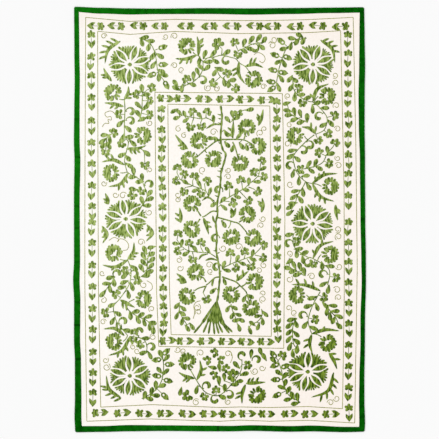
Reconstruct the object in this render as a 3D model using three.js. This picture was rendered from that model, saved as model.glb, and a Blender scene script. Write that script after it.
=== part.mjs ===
// Suzani blanket, laid out flat with its embroidered face up. One cotton ground cloth has a
// folded strip of cloth sewn over each of its four edges, and the strips meet in mitres.
// Millimetres. +X runs across the width, +Y towards the top end and +Z up. The origin is on
// the surface that the blanket rests on, under its middle.

import * as THREE from 'three';

// Driving dimensions
const GROUND_THICKNESS = 1.5; // cotton, thickened by the embroidery thread
const BINDING_LAYER = 1; // one layer of the folded strip
const CLEARANCE = 0.3; // between pieces that are sewn to each other
const RAW_EDGE_DEPTH = 5; // outside of the fold to the ground's cut edge inside it
const FOLD_DEPTH = 1.8; // the fold's rounding, seen in section
const OUTER_FOLD_STEPS = 4;
const INNER_FOLD_STEPS = 2;
const EDGE_DROP = 0.4; // the upper layer's turned edge lies this much lower
const CORNER_RADIUS = 8; // outer corners of the binding, seen from above
const CORNER_FADE = 0.4; // share of the binding's width that the corner's rounding reaches
const MITRE_RUN = 6; // the stations turn from square to mitred over this, past the width
const SLOPE_LINES = [2, 9, 17, 25]; // past the binding's inner edge, the ground slopes down here
const GRID_MARGIN = 110; // nominal edge to the first straight grid line
const GRID_STEP = 110; // most between two grid lines
const STATION_STEP = 95; // most between two stations of a binding strip
const NOMINAL_HALF_WIDTH = 750;
const NOMINAL_HALF_LENGTH = 1100;

const GROUND_LIFT = BINDING_LAYER + CLEARANCE;
const FOLD_HEIGHT = 2 * GROUND_LIFT + GROUND_THICKNESS;
const MITRE_EASE = CLEARANCE / Math.SQRT2; // each strip stops this short of the mitre

// The finished edges are slightly uneven. A row is one place along an edge: how far the edge
// lies from the middle of the blanket there, and how wide the binding shows.
const TOP_EDGE = [
  { at: -750, out: 1100, width: 27 },
  { at: -615, out: 1095, width: 31 },
  { at: -460, out: 1091.5, width: 32 },
  { at: -330, out: 1090.5, width: 29 },
  { at: -45, out: 1093, width: 31 },
  { at: 160, out: 1091.7, width: 33 },
  { at: 367, out: 1093.7, width: 32 },
  { at: 574, out: 1095.7, width: 29 },
  { at: 750, out: 1097.5, width: 28 },
];
const BOTTOM_EDGE = [
  { at: -750, out: 1100, width: 32 },
  { at: -615, out: 1098.4, width: 31 },
  { at: -460, out: 1095, width: 33 },
  { at: -300, out: 1093.3, width: 30 },
  { at: -45, out: 1095.3, width: 30 },
  { at: 57, out: 1095.4, width: 29 },
  { at: 160, out: 1092.9, width: 30 },
  { at: 367, out: 1097.2, width: 30 },
  { at: 471, out: 1095.6, width: 31 },
  { at: 652, out: 1099.5, width: 28 },
  { at: 750, out: 1097, width: 25 },
];
const LEFT_EDGE = [
  { at: -1100, out: 746.5, width: 36 },
  { at: -1013, out: 749.9, width: 36 },
  { at: -935, out: 747.5, width: 34 },
  { at: -729, out: 747.8, width: 32 },
  { at: -625, out: 752.3, width: 32 },
  { at: -418, out: 752, width: 33 },
  { at: -315, out: 757, width: 34 },
  { at: -212, out: 752.3, width: 32 },
  { at: 98, out: 752.6, width: 30 },
  { at: 305, out: 750.1, width: 31 },
  { at: 409, out: 752.9, width: 30 },
  { at: 564, out: 751, width: 28 },
  { at: 719, out: 748.8, width: 27 },
  { at: 874, out: 750.4, width: 26 },
  { at: 1100, out: 751.8, width: 25 },
];
const RIGHT_EDGE = [
  { at: -1100, out: 750, width: 30 },
  { at: -1055, out: 752.5, width: 30 },
  { at: -935, out: 749, width: 28 },
  { at: -832, out: 748.7, width: 26 },
  { at: -625, out: 751.6, width: 23 },
  { at: -522, out: 752.4, width: 24 },
  { at: -315, out: 757, width: 22 },
  { at: -212, out: 756.7, width: 24 },
  { at: -5, out: 753.7, width: 25 },
  { at: 305, out: 752.4, width: 27 },
  { at: 486, out: 750.1, width: 30 },
  { at: 641, out: 750.5, width: 32 },
  { at: 796, out: 752.7, width: 31 },
  { at: 951, out: 750.1, width: 27 },
  { at: 1100, out: 748, width: 23 },
];

// Soft ridges in the ground where the blanket was folded for storage.
const CREASE_REACH = 26; // middle of a ridge to its foot
const LENGTHWISE_CREASES = [{ at: 0, height: 0.8 }];
const CROSSWISE_CREASES = [
  { at: -550, height: 0.9 },
  { at: 0, height: 0.8 },
  { at: 550, height: 0.5 },
];

// Small tucks that run across the binding's upper layer.
const TUCK_REACH = 9;
const BOTTOM_TUCKS = [
  { at: -370, height: 0.4 },
  { at: -8, height: 0.9 },
  { at: 364, height: 0.4 },
];
const LEFT_TUCKS = [
  { at: -721, height: 0.9 },
  { at: -545, height: 0.9 },
  { at: -427, height: 0.5 },
  { at: -220, height: 0.4 },
  { at: -44, height: 0.5 },
  { at: 70, height: 0.4 },
  { at: 323, height: 0.5 },
  { at: 520, height: 0.4 },
];
const RIGHT_TUCKS = [
  { at: -685, height: 0.4 },
  { at: -566, height: 0.8 },
  { at: -370, height: 0.4 },
  { at: 3, height: 0.9 },
];

// Across the binding's upper face: share of its width, and how far sewing draws it down.
const UPPER_FACE = [
  { share: 0.28, drop: 0 },
  { share: 0.55, drop: 0.3 },
  { share: 0.8, drop: 0 },
];

// The four sides. `before` and `after` are the sides at the low and high end of `at`, and
// `end` is the end of those two that this side crosses.
const SIDES = {
  top: { rows: TOP_EDGE, tucks: [], before: 'left', after: 'right', end: 1 },
  bottom: { rows: BOTTOM_EDGE, tucks: BOTTOM_TUCKS, before: 'left', after: 'right', end: -1 },
  left: { rows: LEFT_EDGE, tucks: LEFT_TUCKS, before: 'bottom', after: 'top', end: -1 },
  right: { rows: RIGHT_EDGE, tucks: RIGHT_TUCKS, before: 'bottom', after: 'top', end: 1 },
};

// A point from its place along a side and its distance out from the blanket's middle.
function pointOn(name, along, out) {
  const side = SIDES[name];
  const runsAcross = side.before === 'left';
  return runsAcross ? [along, side.end * out] : [side.end * out, along];
}

// One column of a side's table at any place, eased from row to row without overshoot.
function atEdge(name, column, at) {
  const { rows } = SIDES[name];
  const place = THREE.MathUtils.clamp(at, rows[0].at, rows.at(-1).at);
  const next = Math.max(1, rows.findIndex((row) => row.at >= place));
  const [a, b] = [rows[next - 1], rows[next]];
  return THREE.MathUtils.lerp(a[column], b[column], THREE.MathUtils.smoothstep(place, a.at, b.at));
}

// Height of a row of soft ridges, given where their middles are.
function ridges(list, reach, place) {
  return list.reduce((height, { at, height: top }) => {
    const away = Math.min(Math.abs(place - at) / reach, 1);
    return height + (top * (1 + Math.cos(Math.PI * away))) / 2;
  }, 0);
}

// The stops, and equal steps between them that are no longer than the given one.
function filledBetween(stops, longest) {
  const places = [stops[0]];
  for (const stop of stops.slice(1)) {
    const from = places.at(-1);
    const parts = Math.ceil((stop - from) / longest);
    for (let part = 1; part <= parts; part += 1) {
      places.push(THREE.MathUtils.lerp(from, stop, part / parts));
    }
  }
  return places;
}

// A closed geometry from points and triangles, turned so that its faces point out.
function closedGeometry(points, triangles) {
  const [a, b, c] = [new THREE.Vector3(), new THREE.Vector3(), new THREE.Vector3()];
  let volume = 0;
  for (const [i, j, k] of triangles) {
    a.fromArray(points[i]);
    b.fromArray(points[j]);
    c.fromArray(points[k]);
    volume += a.dot(b.cross(c));
  }
  const facing = volume > 0 ? triangles : triangles.map(([i, j, k]) => [i, k, j]);
  const geometry = new THREE.BufferGeometry();
  geometry.setAttribute('position', new THREE.Float32BufferAttribute(points.flat(), 3));
  geometry.setIndex(facing.flat());
  geometry.computeVertexNormals();
  return geometry;
}

// Ground cloth: a sheet on a grid whose outer lines follow the uneven edges

// Grid lines in one direction. A line near an edge belongs to that side, `past` is its
// distance past the binding's inner edge, and the outermost one is the cut edge itself.
function gridLines(lowSide, highSide, half, creases) {
  const creaseStops = creases.flatMap(({ at }) =>
    [-1, -0.5, 0, 0.5, 1].map((share) => at + share * CREASE_REACH),
  );
  const first = half - GRID_MARGIN;
  const straight = filledBetween([-first, ...creaseStops, first], GRID_STEP);
  const edgeLine = (side, sign) => (past) => ({ side, past, at: sign * half });
  const low = [null, ...SLOPE_LINES].map(edgeLine(lowSide, -1));
  const high = [null, ...SLOPE_LINES].map(edgeLine(highSide, 1)).reverse();
  return [...low, ...straight.map((at) => ({ side: null, at })), ...high];
}

// Where a grid line runs at a given place on it.
function linePlace(line, at) {
  if (line.side === null) return line.at;
  const width = atEdge(line.side, 'width', at);
  const depth = line.past === null ? RAW_EDGE_DEPTH : width + line.past;
  return SIDES[line.side].end * (atEdge(line.side, 'out', at) - depth);
}

// How far a grid line is held up by the binding's lower layer.
function lineLift(line) {
  if (line.side === null) return 0;
  if (line.past === null) return GROUND_LIFT;
  const down = THREE.MathUtils.smoothstep(line.past, SLOPE_LINES[0], SLOPE_LINES.at(-1));
  return GROUND_LIFT * (1 - down);
}

function groundGeometry() {
  const columns = gridLines('left', 'right', NOMINAL_HALF_WIDTH, LENGTHWISE_CREASES);
  const rows = gridLines('bottom', 'top', NOMINAL_HALF_LENGTH, CROSSWISE_CREASES);
  const points = [];
  for (const thickness of [0, GROUND_THICKNESS]) {
    for (const row of rows) {
      for (const column of columns) {
        const x = linePlace(column, row.at);
        const y = linePlace(row, column.at);
        const lift = Math.max(lineLift(column), lineLift(row));
        const crease =
          ridges(LENGTHWISE_CREASES, CREASE_REACH, x) + ridges(CROSSWISE_CREASES, CREASE_REACH, y);
        points.push([x, y, lift + crease * (1 - lift / GROUND_LIFT) + thickness]);
      }
    }
  }
  const across = columns.length;
  const layer = across * rows.length;
  const triangles = [];
  const quad = (a, b, c, d) => triangles.push([a, b, c], [a, c, d]);
  for (let j = 0; j < rows.length - 1; j += 1) {
    for (let i = 0; i < across - 1; i += 1) {
      const [a, b] = [j * across + i, j * across + i + 1];
      const [c, d] = [b + across, a + across];
      quad(a, d, c, b);
      quad(a + layer, b + layer, c + layer, d + layer);
    }
  }
  const rim = [
    ...columns.map((_, i) => i),
    ...rows.slice(1).map((_, j) => (j + 2) * across - 1),
    ...columns.slice(1).map((_, i) => layer - 2 - i),
    ...rows.slice(1).map((_, j) => (rows.length - 2 - j) * across),
  ];
  for (let k = 0; k < rim.length - 1; k += 1) {
    quad(rim[k], rim[k + 1], rim[k + 1] + layer, rim[k] + layer);
  }
  return closedGeometry(points, triangles);
}

// Binding strip: a folded section lofted from mitre to mitre

// Half an ellipse round the fold, from its lower side to its upper side, as depth and height.
function foldArc(across, up, steps) {
  return Array.from({ length: steps + 1 }, (_, step) => {
    const angle = THREE.MathUtils.lerp(-Math.PI / 2, Math.PI / 2, step / steps);
    return [FOLD_DEPTH - across * Math.cos(angle), FOLD_HEIGHT / 2 + up * Math.sin(angle)];
  });
}

// The section as depth in from the outside of the fold and height, once round: over the
// fold, along the slightly channelled upper face, and back inside to the lower layer.
function foldSection(width, tuck) {
  const innerDepth = FOLD_DEPTH - BINDING_LAYER;
  const innerHeight = FOLD_HEIGHT / 2 - BINDING_LAYER;
  return [
    [width, 0],
    ...foldArc(FOLD_DEPTH, FOLD_HEIGHT / 2, OUTER_FOLD_STEPS),
    ...UPPER_FACE.map(({ share, drop }) => [width * share, FOLD_HEIGHT + tuck - drop]),
    [width, FOLD_HEIGHT - EDGE_DROP],
    [width, FOLD_HEIGHT - BINDING_LAYER],
    ...foldArc(innerDepth, innerHeight, INNER_FOLD_STEPS).reverse(),
    [width, BINDING_LAYER],
  ];
}

// Stations of a strip, low end first. `share` is how far a station has turned into the mitre
// of its corner, and `fromCorner` is its distance from that corner along the outer edge.
function stationsOf(name) {
  const side = SIDES[name];
  const cornerStations = (sign) => {
    const neighbour = sign < 0 ? side.before : side.after;
    const corner = atEdge(neighbour, 'out', side.end * Infinity);
    const across = atEdge(neighbour, 'width', side.end * Infinity);
    const reach = across + MITRE_RUN;
    return [0, CORNER_RADIUS / 2, CORNER_RADIUS, reach].map((fromCorner) => ({
      sign,
      corner,
      across,
      reach,
      fromCorner,
      at: sign * (corner - fromCorner),
      share: 1 - fromCorner / reach,
    }));
  };
  const low = cornerStations(-1);
  const high = cornerStations(1).reverse();
  const tuckStops = side.tucks.flatMap(({ at }) => [at - TUCK_REACH, at, at + TUCK_REACH]);
  const places = filledBetween([low.at(-1).at, ...tuckStops, high[0].at], STATION_STEP);
  const middle = places.slice(1, -1).map((at) => ({ at, share: 0 }));
  return [...low, ...middle, ...high];
}

// How far the rounding moves a station's outer points: along, away from the corner, and in.
function cornerRounding(fromCorner) {
  const turn = (Math.max(0, 1 - fromCorner / CORNER_RADIUS) * Math.PI) / 4;
  const onArc = Math.min(fromCorner, CORNER_RADIUS);
  return {
    along: CORNER_RADIUS * (1 - Math.sin(turn)) - onArc,
    inward: CORNER_RADIUS * (1 - Math.cos(turn)),
  };
}

function stationLoop(name, station) {
  const out = atEdge(name, 'out', station.at);
  const width = atEdge(name, 'width', station.at);
  const tuck = ridges(SIDES[name].tucks, TUCK_REACH, station.at);
  return foldSection(width, tuck).map(([depth, height]) => {
    const shareIn = depth / width;
    let along = station.at;
    let inward = depth;
    if (station.share > 0) {
      const square = station.corner - station.reach;
      const mitre = station.corner - shareIn * station.across - MITRE_EASE;
      const rounding = cornerRounding(station.fromCorner);
      const fade = Math.max(0, 1 - shareIn / CORNER_FADE);
      const place = THREE.MathUtils.lerp(square, mitre, station.share);
      along = station.sign * (place - rounding.along * fade);
      inward += rounding.inward * fade;
    }
    return [...pointOn(name, along, out - inward), height];
  });
}

function bindingGeometry(name) {
  const loops = stationsOf(name).map((station) => stationLoop(name, station));
  const around = loops[0].length;
  const triangles = [];
  for (let k = 0; k < loops.length - 1; k += 1) {
    for (let i = 0; i < around; i += 1) {
      const [a, b] = [k * around + i, k * around + ((i + 1) % around)];
      triangles.push([a, b, b + around], [a, b + around, a + around]);
    }
  }
  const section = foldSection(atEdge(name, 'width', 0), 0);
  const outline = section.map(([depth, height]) => new THREE.Vector2(depth, height));
  const cap = THREE.ShapeUtils.triangulateShape(outline, []);
  const lastLoop = (loops.length - 1) * around;
  for (const [a, b, c] of cap) {
    triangles.push([a, b, c], [lastLoop + a, lastLoop + c, lastLoop + b]);
  }
  return closedGeometry(loops.flat(), triangles);
}

// Materials: matt ivory cotton, and a slightly smoother green cloth
function ivoryCotton() {
  return new THREE.MeshStandardMaterial({ color: 0xfbf6ef, roughness: 0.95, metalness: 0 });
}

function greenCloth() {
  return new THREE.MeshStandardMaterial({ color: 0x0b600a, roughness: 0.8, metalness: 0 });
}

function piece(name, geometry, material) {
  const mesh = new THREE.Mesh(geometry, material);
  mesh.name = name;
  return mesh;
}

const blanket = new THREE.Group();
blanket.add(piece('ground_cloth', groundGeometry(), ivoryCotton()));
for (const name of Object.keys(SIDES)) {
  blanket.add(piece(`binding_${name}`, bindingGeometry(name), greenCloth()));
}

export default blanket;
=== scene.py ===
# Suzani blanket, laid out flat with its embroidered face up: the looks of its cloth, its
# folded binding and its needlework. Tables and sizes are in millimetres, in the frame of the
# part: +X across the width, +Y towards the crown of the tree, +Z up out of the face. Angles and
# headings are in degrees, from +X towards +Y.

import math
from collections import namedtuple

import bpy
import numpy as np
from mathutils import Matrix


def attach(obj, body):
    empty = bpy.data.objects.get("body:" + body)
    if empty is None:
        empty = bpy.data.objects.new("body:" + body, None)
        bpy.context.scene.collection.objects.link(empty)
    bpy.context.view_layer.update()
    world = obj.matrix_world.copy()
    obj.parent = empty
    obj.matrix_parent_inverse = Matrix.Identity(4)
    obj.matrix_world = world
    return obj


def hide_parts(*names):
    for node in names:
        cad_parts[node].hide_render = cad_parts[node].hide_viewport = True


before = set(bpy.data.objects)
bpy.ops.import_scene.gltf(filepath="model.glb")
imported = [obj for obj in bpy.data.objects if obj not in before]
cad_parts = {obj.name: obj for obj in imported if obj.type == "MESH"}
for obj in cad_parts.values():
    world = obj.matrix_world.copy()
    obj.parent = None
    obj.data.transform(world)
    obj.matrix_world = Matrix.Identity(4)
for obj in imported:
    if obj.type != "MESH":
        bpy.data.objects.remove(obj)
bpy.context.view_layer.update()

MM = 0.001

# Driving dimensions, as in the part's own source
GROUND_THICKNESS = 1.5
BINDING_LAYER = 1
CLEARANCE = 0.3
RAW_EDGE_DEPTH = 5
FOLD_DEPTH = 1.8
EDGE_DROP = 0.4
CORNER_RADIUS = 8
CORNER_FADE = 0.4
MITRE_RUN = 6
SLOPE_START = 2
SLOPE_END = 25
NOMINAL_HALF_WIDTH = 750
NOMINAL_HALF_LENGTH = 1100
GROUND_LIFT = BINDING_LAYER + CLEARANCE
FOLD_HEIGHT = 2 * GROUND_LIFT + GROUND_THICKNESS
MITRE_EASE = CLEARANCE / math.sqrt(2)

# Meshes of the cloth
GROUND_STEP = 9
SLOPE_GRID_STEP = 4
SLOPE_GRID_MARGIN = 8  # from the slope's end to one more line
EVEN_GRID_INSET = 55  # from the slope's end to the even grid
BINDING_STEP = 5
MITRE_STEPS = (0, 1, 2.5, 4, 6, CORNER_RADIUS, 13, 20, 28)  # from a corner
FOLD_STEPS = 8
INNER_FOLD_STEPS = 4
THIRDS = (0.33, 0.66, 1)  # of the binding's width
EDGE_ROUNDING = 0.25  # of the upper layer's inner edge
EDGE_SWELL = 0.1

# Relief of the cloth
PUCKER_HEIGHT = 0.45  # small unevenness of the stitched cloth
PUCKER_LENGTHS = (28, 95)  # shortest and longest wave of it
PUCKER_WAVES = 26
PUCKER_SEED = 11
CREASE_REACH = 26
TUCK_REACH = 9
RIPPLE_HEIGHT = 0.16  # of the binding between its stitches
RIPPLE_WAVES = ((7.3, 0), (11.9, 1.3), (29, 0.4))  # length of one radian, and phase

# Across the binding's upper face: share of its width, and how far sewing draws it down
UPPER_SHARES = (0.28, 0.42, 0.55, 0.68, 0.8, 0.92)
UPPER_DROPS = (0, 0.18, 0.3, 0.18, 0, 0.12)

# Sewing along the binding's inner edge
SEWING_INSET = 2.4
SEWING_PITCH = 3.6
SEWING_FILLED = 0.75  # share of the pitch that a stitch covers
SEWING_WIDTH = 0.7
SEWING_HEIGHT = 0.3
SEWING_TAPER = (0.4, 1, 1, 0.4)
SEWING_SAMPLES = 201

# Thread
STITCH_HEIGHT = 0.9  # of a filled stroke's middle above the cloth
WIDTH_OF_FULL_HEIGHT = 4  # a narrower stroke is lower
RIM_SINK = 0.3  # a stroke's rim below the cloth's face
TIP_WIDTH = 0.5  # where a stroke ends in a point
LINE_STEP = 8
PATH_STEP = 4  # where motifs look for the nearest stem
SWELL_POWER = 1.2
TIP_CROWDING = 1.5  # above 1, a blade's points lie closer near its tip
LINK_PITCH = 5  # chain stitch
LINK_WIDTH = 5.2
LINK_HEIGHT = 0.7
LINK_TAPER = (0.5, 1, 1, 0.6)
STITCH_PLACES = (0, 0.25, 0.75, 1)  # of a short stitch's four sections

# Tree and stems. A pair of widths is that at the start of a line and that at its end.
TRUNK_WIDTH = 10.3
TRUNK_SWELL = 2
TRUNK_WAVE = 0.9  # radians from point to point
TRUNK_STEP = 6
BRANCH_WIDTHS = (8, 6)
STEM_WIDTHS = (5.2, 4.2)
STALK_WIDTHS = (3.8, 3.8)
THORN_LENGTHS = (16, 24)
THORN_WIDTH = 7
THORN_BEND = -15
SICKLE_PLACES = (0, 0.2, 0.5, 1)
SICKLE_WIDTHS = (3, 11, 12, 5)
ROOT_TOP = (-15, -425)
ROOT_MIDDLE = (-34, -528)
ROOT_FOOT = -33  # x of the middle root's tip
ROOT_FANS = (0.04, 0.5)  # share of its tip's offset that a root has at the top and the middle
ROOT_STEP = 7
ROOT_PLACES = (0, 0.6, 0.68, 0.9, 0.97, 1)
ROOT_WIDTHS = (4, 17, 8, 12, 9, TIP_WIDTH)

# How a filled stroke's width runs: a share `neck` of it at the start, all of it at the share `peak`
# of the length, and then down to a tip, which is round where `blunt` is low
Form = namedtuple("Form", "peak blunt neck steps", defaults=(7,))
THORN_FORM = Form(0.3, 1, 0.8)

# Leaves
LEAF_LENGTHS = (42, 49)
LEAF_WIDTHS = (20, 23.5)
LEAF_BEND = 20
LEAF_LEAN = 45
LEAF_FORM = Form(0.66, (0.5, 0.8), 0.14, 8)  # `blunt` is drawn between these two
LEAF_STALKS = (LEAF_WIDTHS[0] / 3, 45)  # shortest and longest gap that a stalk bridges
LEAF_STALK_WIDTHS = (3.9, 3.9)
LEAF_OVERLAP = 4
OUTER_LEAF_SCALE = 1.09  # outside the tree's panel
PANEL_HALF_WIDTH = 270
PANEL_HALF_LENGTH = 600

# Small flowers. Their lobes' sizes are shares of the flower's.
BLOSSOM_SPREAD = 116
BLOSSOM_EYE = 4.5
BLOSSOM_STALK = 70  # longest
LOBE_SIDES = (-1, -0.5, 0, 0.5, 1)
LOBE_SWAY = 9
LOBE_LENGTHS = (0.57, 0.68)
LOBE_WIDTH = 0.42
LOBE_FORM = Form(0.64, 0.5, 0.68)
LOBE_SHIFT = 1.5  # towards the fan's opening, in millimetres

# Sprigs of the narrow borders
SPRIG_FLOWER = 37
SPRIG_SPREAD = 126
SPRIG_SWAY = 6
SPRIG_STEMS = (65, 74)
SPRIG_STEM_WIDTHS = (2.8, 2.8)
SPRIG_TURNS = (-19, 19)
SPRIG_LEAF_LENGTHS = (41, 48)
SPRIG_LEAF_WIDTHS = (16, 19)
SPRIG_LEAF_CURVE = 0.5  # bend as a share of the turn
SPRIG_LEAF_FORM = Form(0.6, 1.1, 0.12)

# Carnations: lobes, a slot where they start late, a ring that joins them, a fork in the slot, and
# fingers at the opening. Reaches are shares of the radius.
CARNATION_RADIUS = 46.5
CARNATION_LOBES = 12
CARNATION_SPREAD = 122
CARNATION_SWAY = 2
CARNATION_START = 14
CARNATION_REACHES = (0.94, 1.08)
CARNATION_WIDTH = 14.5
CARNATION_FORM = Form(0.78, 0.42, 0.8)
SLOT_SIDES = (0.6, 0.95)  # shares of the spread
SLOT_START = 25
RING_POINTS = 20
RING_SPREAD = 112
RING_RADIUS = 0.62 * CARNATION_RADIUS
RING_WIDTH = 0.3 * CARNATION_RADIUS
FORK_TURNS = (-34, 34)
FORK_SWAY = 6
FORK_START = 5
FORK_LENGTH = 28
FORK_WIDTH = 20
FORK_FORM = Form(0.5, 0.4, 0.6)
FINGER_TURNS = (-44, -15, 15, 44)
FINGER_SWAY = 4
FINGER_STARTS = (13, 17)
FINGER_REACHES = (0.9, 1.02)
FINGER_SETBACK = 15
FINGER_WIDTH = 13
FINGER_FORM = Form(0.6, 0.6, 0.6)
CARNATION_DOOR = 0.98 * CARNATION_RADIUS  # where the stalk ends
CARNATION_STALK = 75  # longest
CARNATION_STALK_BOW = 0.08
CARNATION_STALK_WIDTHS = (5, 5)

# Rosettes: a hub, petals, and teeth that part round the petals
ROSETTE_STRETCH = (1.05, 1)  # along x and y
HUB_LENGTH = 22
HUB_WIDTH = 21
HUB_FORM = Form(0.5, 0.5, 0.2)
PETAL_START = 21
PETAL_LENGTH = 80
PETAL_WIDTH = 26
PETAL_BEND = 10
PETAL_FORM = Form(0.55, 0.85, 0.02, 11)
TOOTH_PITCH = 10
FEWEST_TEETH = 4
TOOTH_START = 28
TOOTH_TOP = 101
TOOTH_TOP_RISE = 4  # beside the petals
TOOTH_TOP_CHANGES = (-7, 3)
TOOTH_STEPS = 6
TOOTH_TIP = ((15, 0.8), (8, 0.68), (3, 0.48), (0, 0.15))  # depth below the top, and share of the width
TOOTH_TIP_DEPTH = 19  # below the top, where the tip starts
TOOTH_OVERLAP = 1.2
GAP_WIDTH = 13.5  # half of what the teeth leave free for a petal
GAP_START = 22
GAP_LENGTH = 79
GAP_ROUND = 0.85
GAP_MARGIN = 8
GAP_LEAST = 0.5

# Serrated leaves
FEATHER_STEPS = 12
FEATHER_WIDTH = 5
FEATHER_SWELL = 14.5
FEATHER_SKEW = 0.68  # below 1, the lower half is the thicker one
FEATHER_REACHES = (0.92, 1.08)
FEATHER_TOOTH_TURN = 66
FEATHER_TOOTH_WIDTH = 12.5
FEATHER_TOOTH_BEND = -18
FEATHER_TOOTH_FORM = Form(0.5, 0.65, 0.85)

# Scroll leaves: their radii and widths are those at the start, and how they change to the end
HOOK_POINTS = 19
HOOK_TURN = 292
HOOK_CROWDING = 1.4  # as a blade's
HOOK_RADII = (23.5, -13.5)
HOOK_WIDTHS = (5, 14)
HOOK_SWELL = (0.05, 0.7)  # shares of the length between which it swells
HOOK_TIP = 0.16  # share of the length that is its round end
SCROLL_STALKS = (18, 65)  # from the motif's middle, and longest

# Eyed leaves
EYE_SETBACK = 11
EYE_RADII = (10.5, 9.5)  # along and across the leaf
EYE_WIDTHS = (9, 1.5)  # beside the eye, and how much more ahead of it
EYE_POINTS = 21
BODY_START = 5
BODY_LENGTH = 33
BODY_WIDTH = 29
BODY_FORM = Form(0.26, 1.2, 0.8)

# Curls: their radii are that at the start, and how it changes to the end
CURL_POINTS = 24
CURL_SIZES = (0.9, 1.25)
CURL_TURNS = (360, 450)
CURL_RADII = (17, -10)
CURL_EASE = 0.8

# Flat sizes of the cloth and of the binding strips, in metres
STRIP_CUTS = {"top": (1.5, 0.064), "bottom": (1.5, 0.064), "left": (2.2, 0.066), "right": (2.2, 0.056)}

# Colours as sRGB values. A colour changes across the blanket by the sum of its slopes: each is a
# share at the middle, and how it grows for each metre along x and y. These slopes are painted
# light: colours lit brighter towards the left, where the light falls, and in painted shade towards
# the right; in the binding and the thread part of the change is real unevenness of dye.
# The cotton's two ends of its painted light: near white where lit, its own cream where in shade
COTTON_PAINTED_LIT = (252, 250, 246)
COTTON_PAINTED_DIM = (247, 239, 232)
COTTON_SHADE = (234, 220, 202)
COTTON_SLOPES = ((0.4, 0.6, 0), (-0.15, 0, -0.55), (-5, 0, 5.5))
# Binding: its lighter and darker ends, partly its dye and partly painted light from the left
CLOTH_LIGHT_AND_LIT = (20, 118, 16)
CLOTH_DARK_AND_SHADED = (0, 60, 0)
CLOTH_WORN = (16, 124, 12)
CLOTH_DEEP = (0, 50, 0)
# Painted shade in the creases of the tucks
CLOTH_PAINTED_TUCK_SHADE = (0, 42, 0)
CLOTH_SLOPES = ((0.4, 0.45, 0), (-0.6, 0, 0.8), (-1, -1.3, -0.8), (-0.8, 1, -0.9))
# Thread pairs run from left to right: partly dye, partly painted light, lit on the left and in painted
# shade on the right
THREAD_LIGHT = ((171, 190, 112), (124, 148, 48))
THREAD_DARK = ((88, 114, 32), (46, 72, 2))
THREAD_SLOPES = ((0.25, 0.49, 0), (-0.15, 0, -0.9), (-2.7, 0, 3))
TREE_LIGHT = ((150, 170, 88), (118, 140, 54))
TREE_DARK = ((84, 108, 30), (54, 78, 10))
PALE_LIGHT = ((166, 168, 76), (158, 160, 66))
PALE_DARK = ((130, 134, 42), (124, 128, 36))
FLOOR_COLOUR = (0.9, 0.9, 0.9, 1)  # linear
SKY_COLOUR = (1, 1, 1, 1)

# Materials: sizes of their noise along x, y and z, and pitches of their weave
COTTON_MOTTLE = (10, 14, 14)
COTTON_MOTTLING = 0.28  # share of it in the colour
COTTON_WEAVE = 0.9
CLOTH_WEAR = (26, 26, 26)
CLOTH_WEARING = 0.4
CLOTH_WEAVE = 0.8
THREAD_STREAKS = (7, 30, 30)
THREAD_STRANDS = (1.4, 30, 30)
WAVE_TEXTURE_RATE = 20  # radians for each unit, in the wave texture

# Stage: floor, light and camera
FLOOR_REACH = 8000
IMAGE_WIDTH = 2270  # how much of the floor the photograph's frame covers
CAMERA_HEIGHT = 8000
SENSOR = 36
SKY_STRENGTH = 0.83
SUN_STRENGTH = 1.3
SUN_SPREAD = 35
SUN_TILT = -55
SUN_TURN = -25

# Each edge of the blanket: place along it, distance from the middle, and width of binding
EDGE_COLUMNS = ("at", "out", "width")
TOP_EDGE = [
    (-750, 1100, 27), (-615, 1095, 31), (-460, 1091.5, 32), (-330, 1090.5, 29), (-45, 1093, 31),
    (160, 1091.7, 33), (367, 1093.7, 32), (574, 1095.7, 29), (750, 1097.5, 28),
]
BOTTOM_EDGE = [
    (-750, 1100, 32), (-615, 1098.4, 31), (-460, 1095, 33), (-300, 1093.3, 30), (-45, 1095.3, 30),
    (57, 1095.4, 29), (160, 1092.9, 30), (367, 1097.2, 30), (471, 1095.6, 31), (652, 1099.5, 28),
    (750, 1097, 25),
]
LEFT_EDGE = [
    (-1100, 746.5, 36), (-1013, 749.9, 36), (-935, 747.5, 34), (-729, 747.8, 32), (-625, 752.3, 32),
    (-418, 752, 33), (-315, 757, 34), (-212, 752.3, 32), (98, 752.6, 30), (305, 750.1, 31),
    (409, 752.9, 30), (564, 751, 28), (719, 748.8, 27), (874, 750.4, 26), (1100, 751.8, 25),
]
RIGHT_EDGE = [
    (-1100, 750, 30), (-1055, 752.5, 30), (-935, 749, 28), (-832, 748.7, 26), (-625, 751.6, 23),
    (-522, 752.4, 24), (-315, 757, 22), (-212, 756.7, 24), (-5, 753.7, 25), (305, 752.4, 27),
    (486, 750.1, 30), (641, 750.5, 32), (796, 752.7, 31), (951, 750.1, 27), (1100, 748, 23),
]

# Soft ridges in the ground, and small tucks across the binding's upper layer: place, and height.
# The binding's colour is also painted darker at its tucks, as painted shade in their creases.
LENGTHWISE_CREASES = [(0, 0.8)]
CROSSWISE_CREASES = [(-550, 0.9), (0, 0.8), (550, 0.5)]
BOTTOM_TUCKS = [(-370, 0.4), (-8, 0.9), (364, 0.4)]
LEFT_TUCKS = [
    (-721, 0.9), (-545, 0.9), (-427, 0.5), (-220, 0.4), (-44, 0.5), (70, 0.4), (323, 0.5), (520, 0.4),
]
RIGHT_TUCKS = [(-685, 0.4), (-566, 0.8), (-370, 0.4), (3, 0.9)]

# `before` and `after` are the sides at the low and high end of `at`, and `end` is the end of
# those two that this side crosses.
Side = namedtuple("Side", "rows tucks before after end")
SIDES = {
    "top": Side(TOP_EDGE, [], "left", "right", 1),
    "bottom": Side(BOTTOM_EDGE, BOTTOM_TUCKS, "left", "right", -1),
    "left": Side(LEFT_EDGE, LEFT_TUCKS, "bottom", "top", -1),
    "right": Side(RIGHT_EDGE, RIGHT_TUCKS, "bottom", "top", 1),
}
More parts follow.
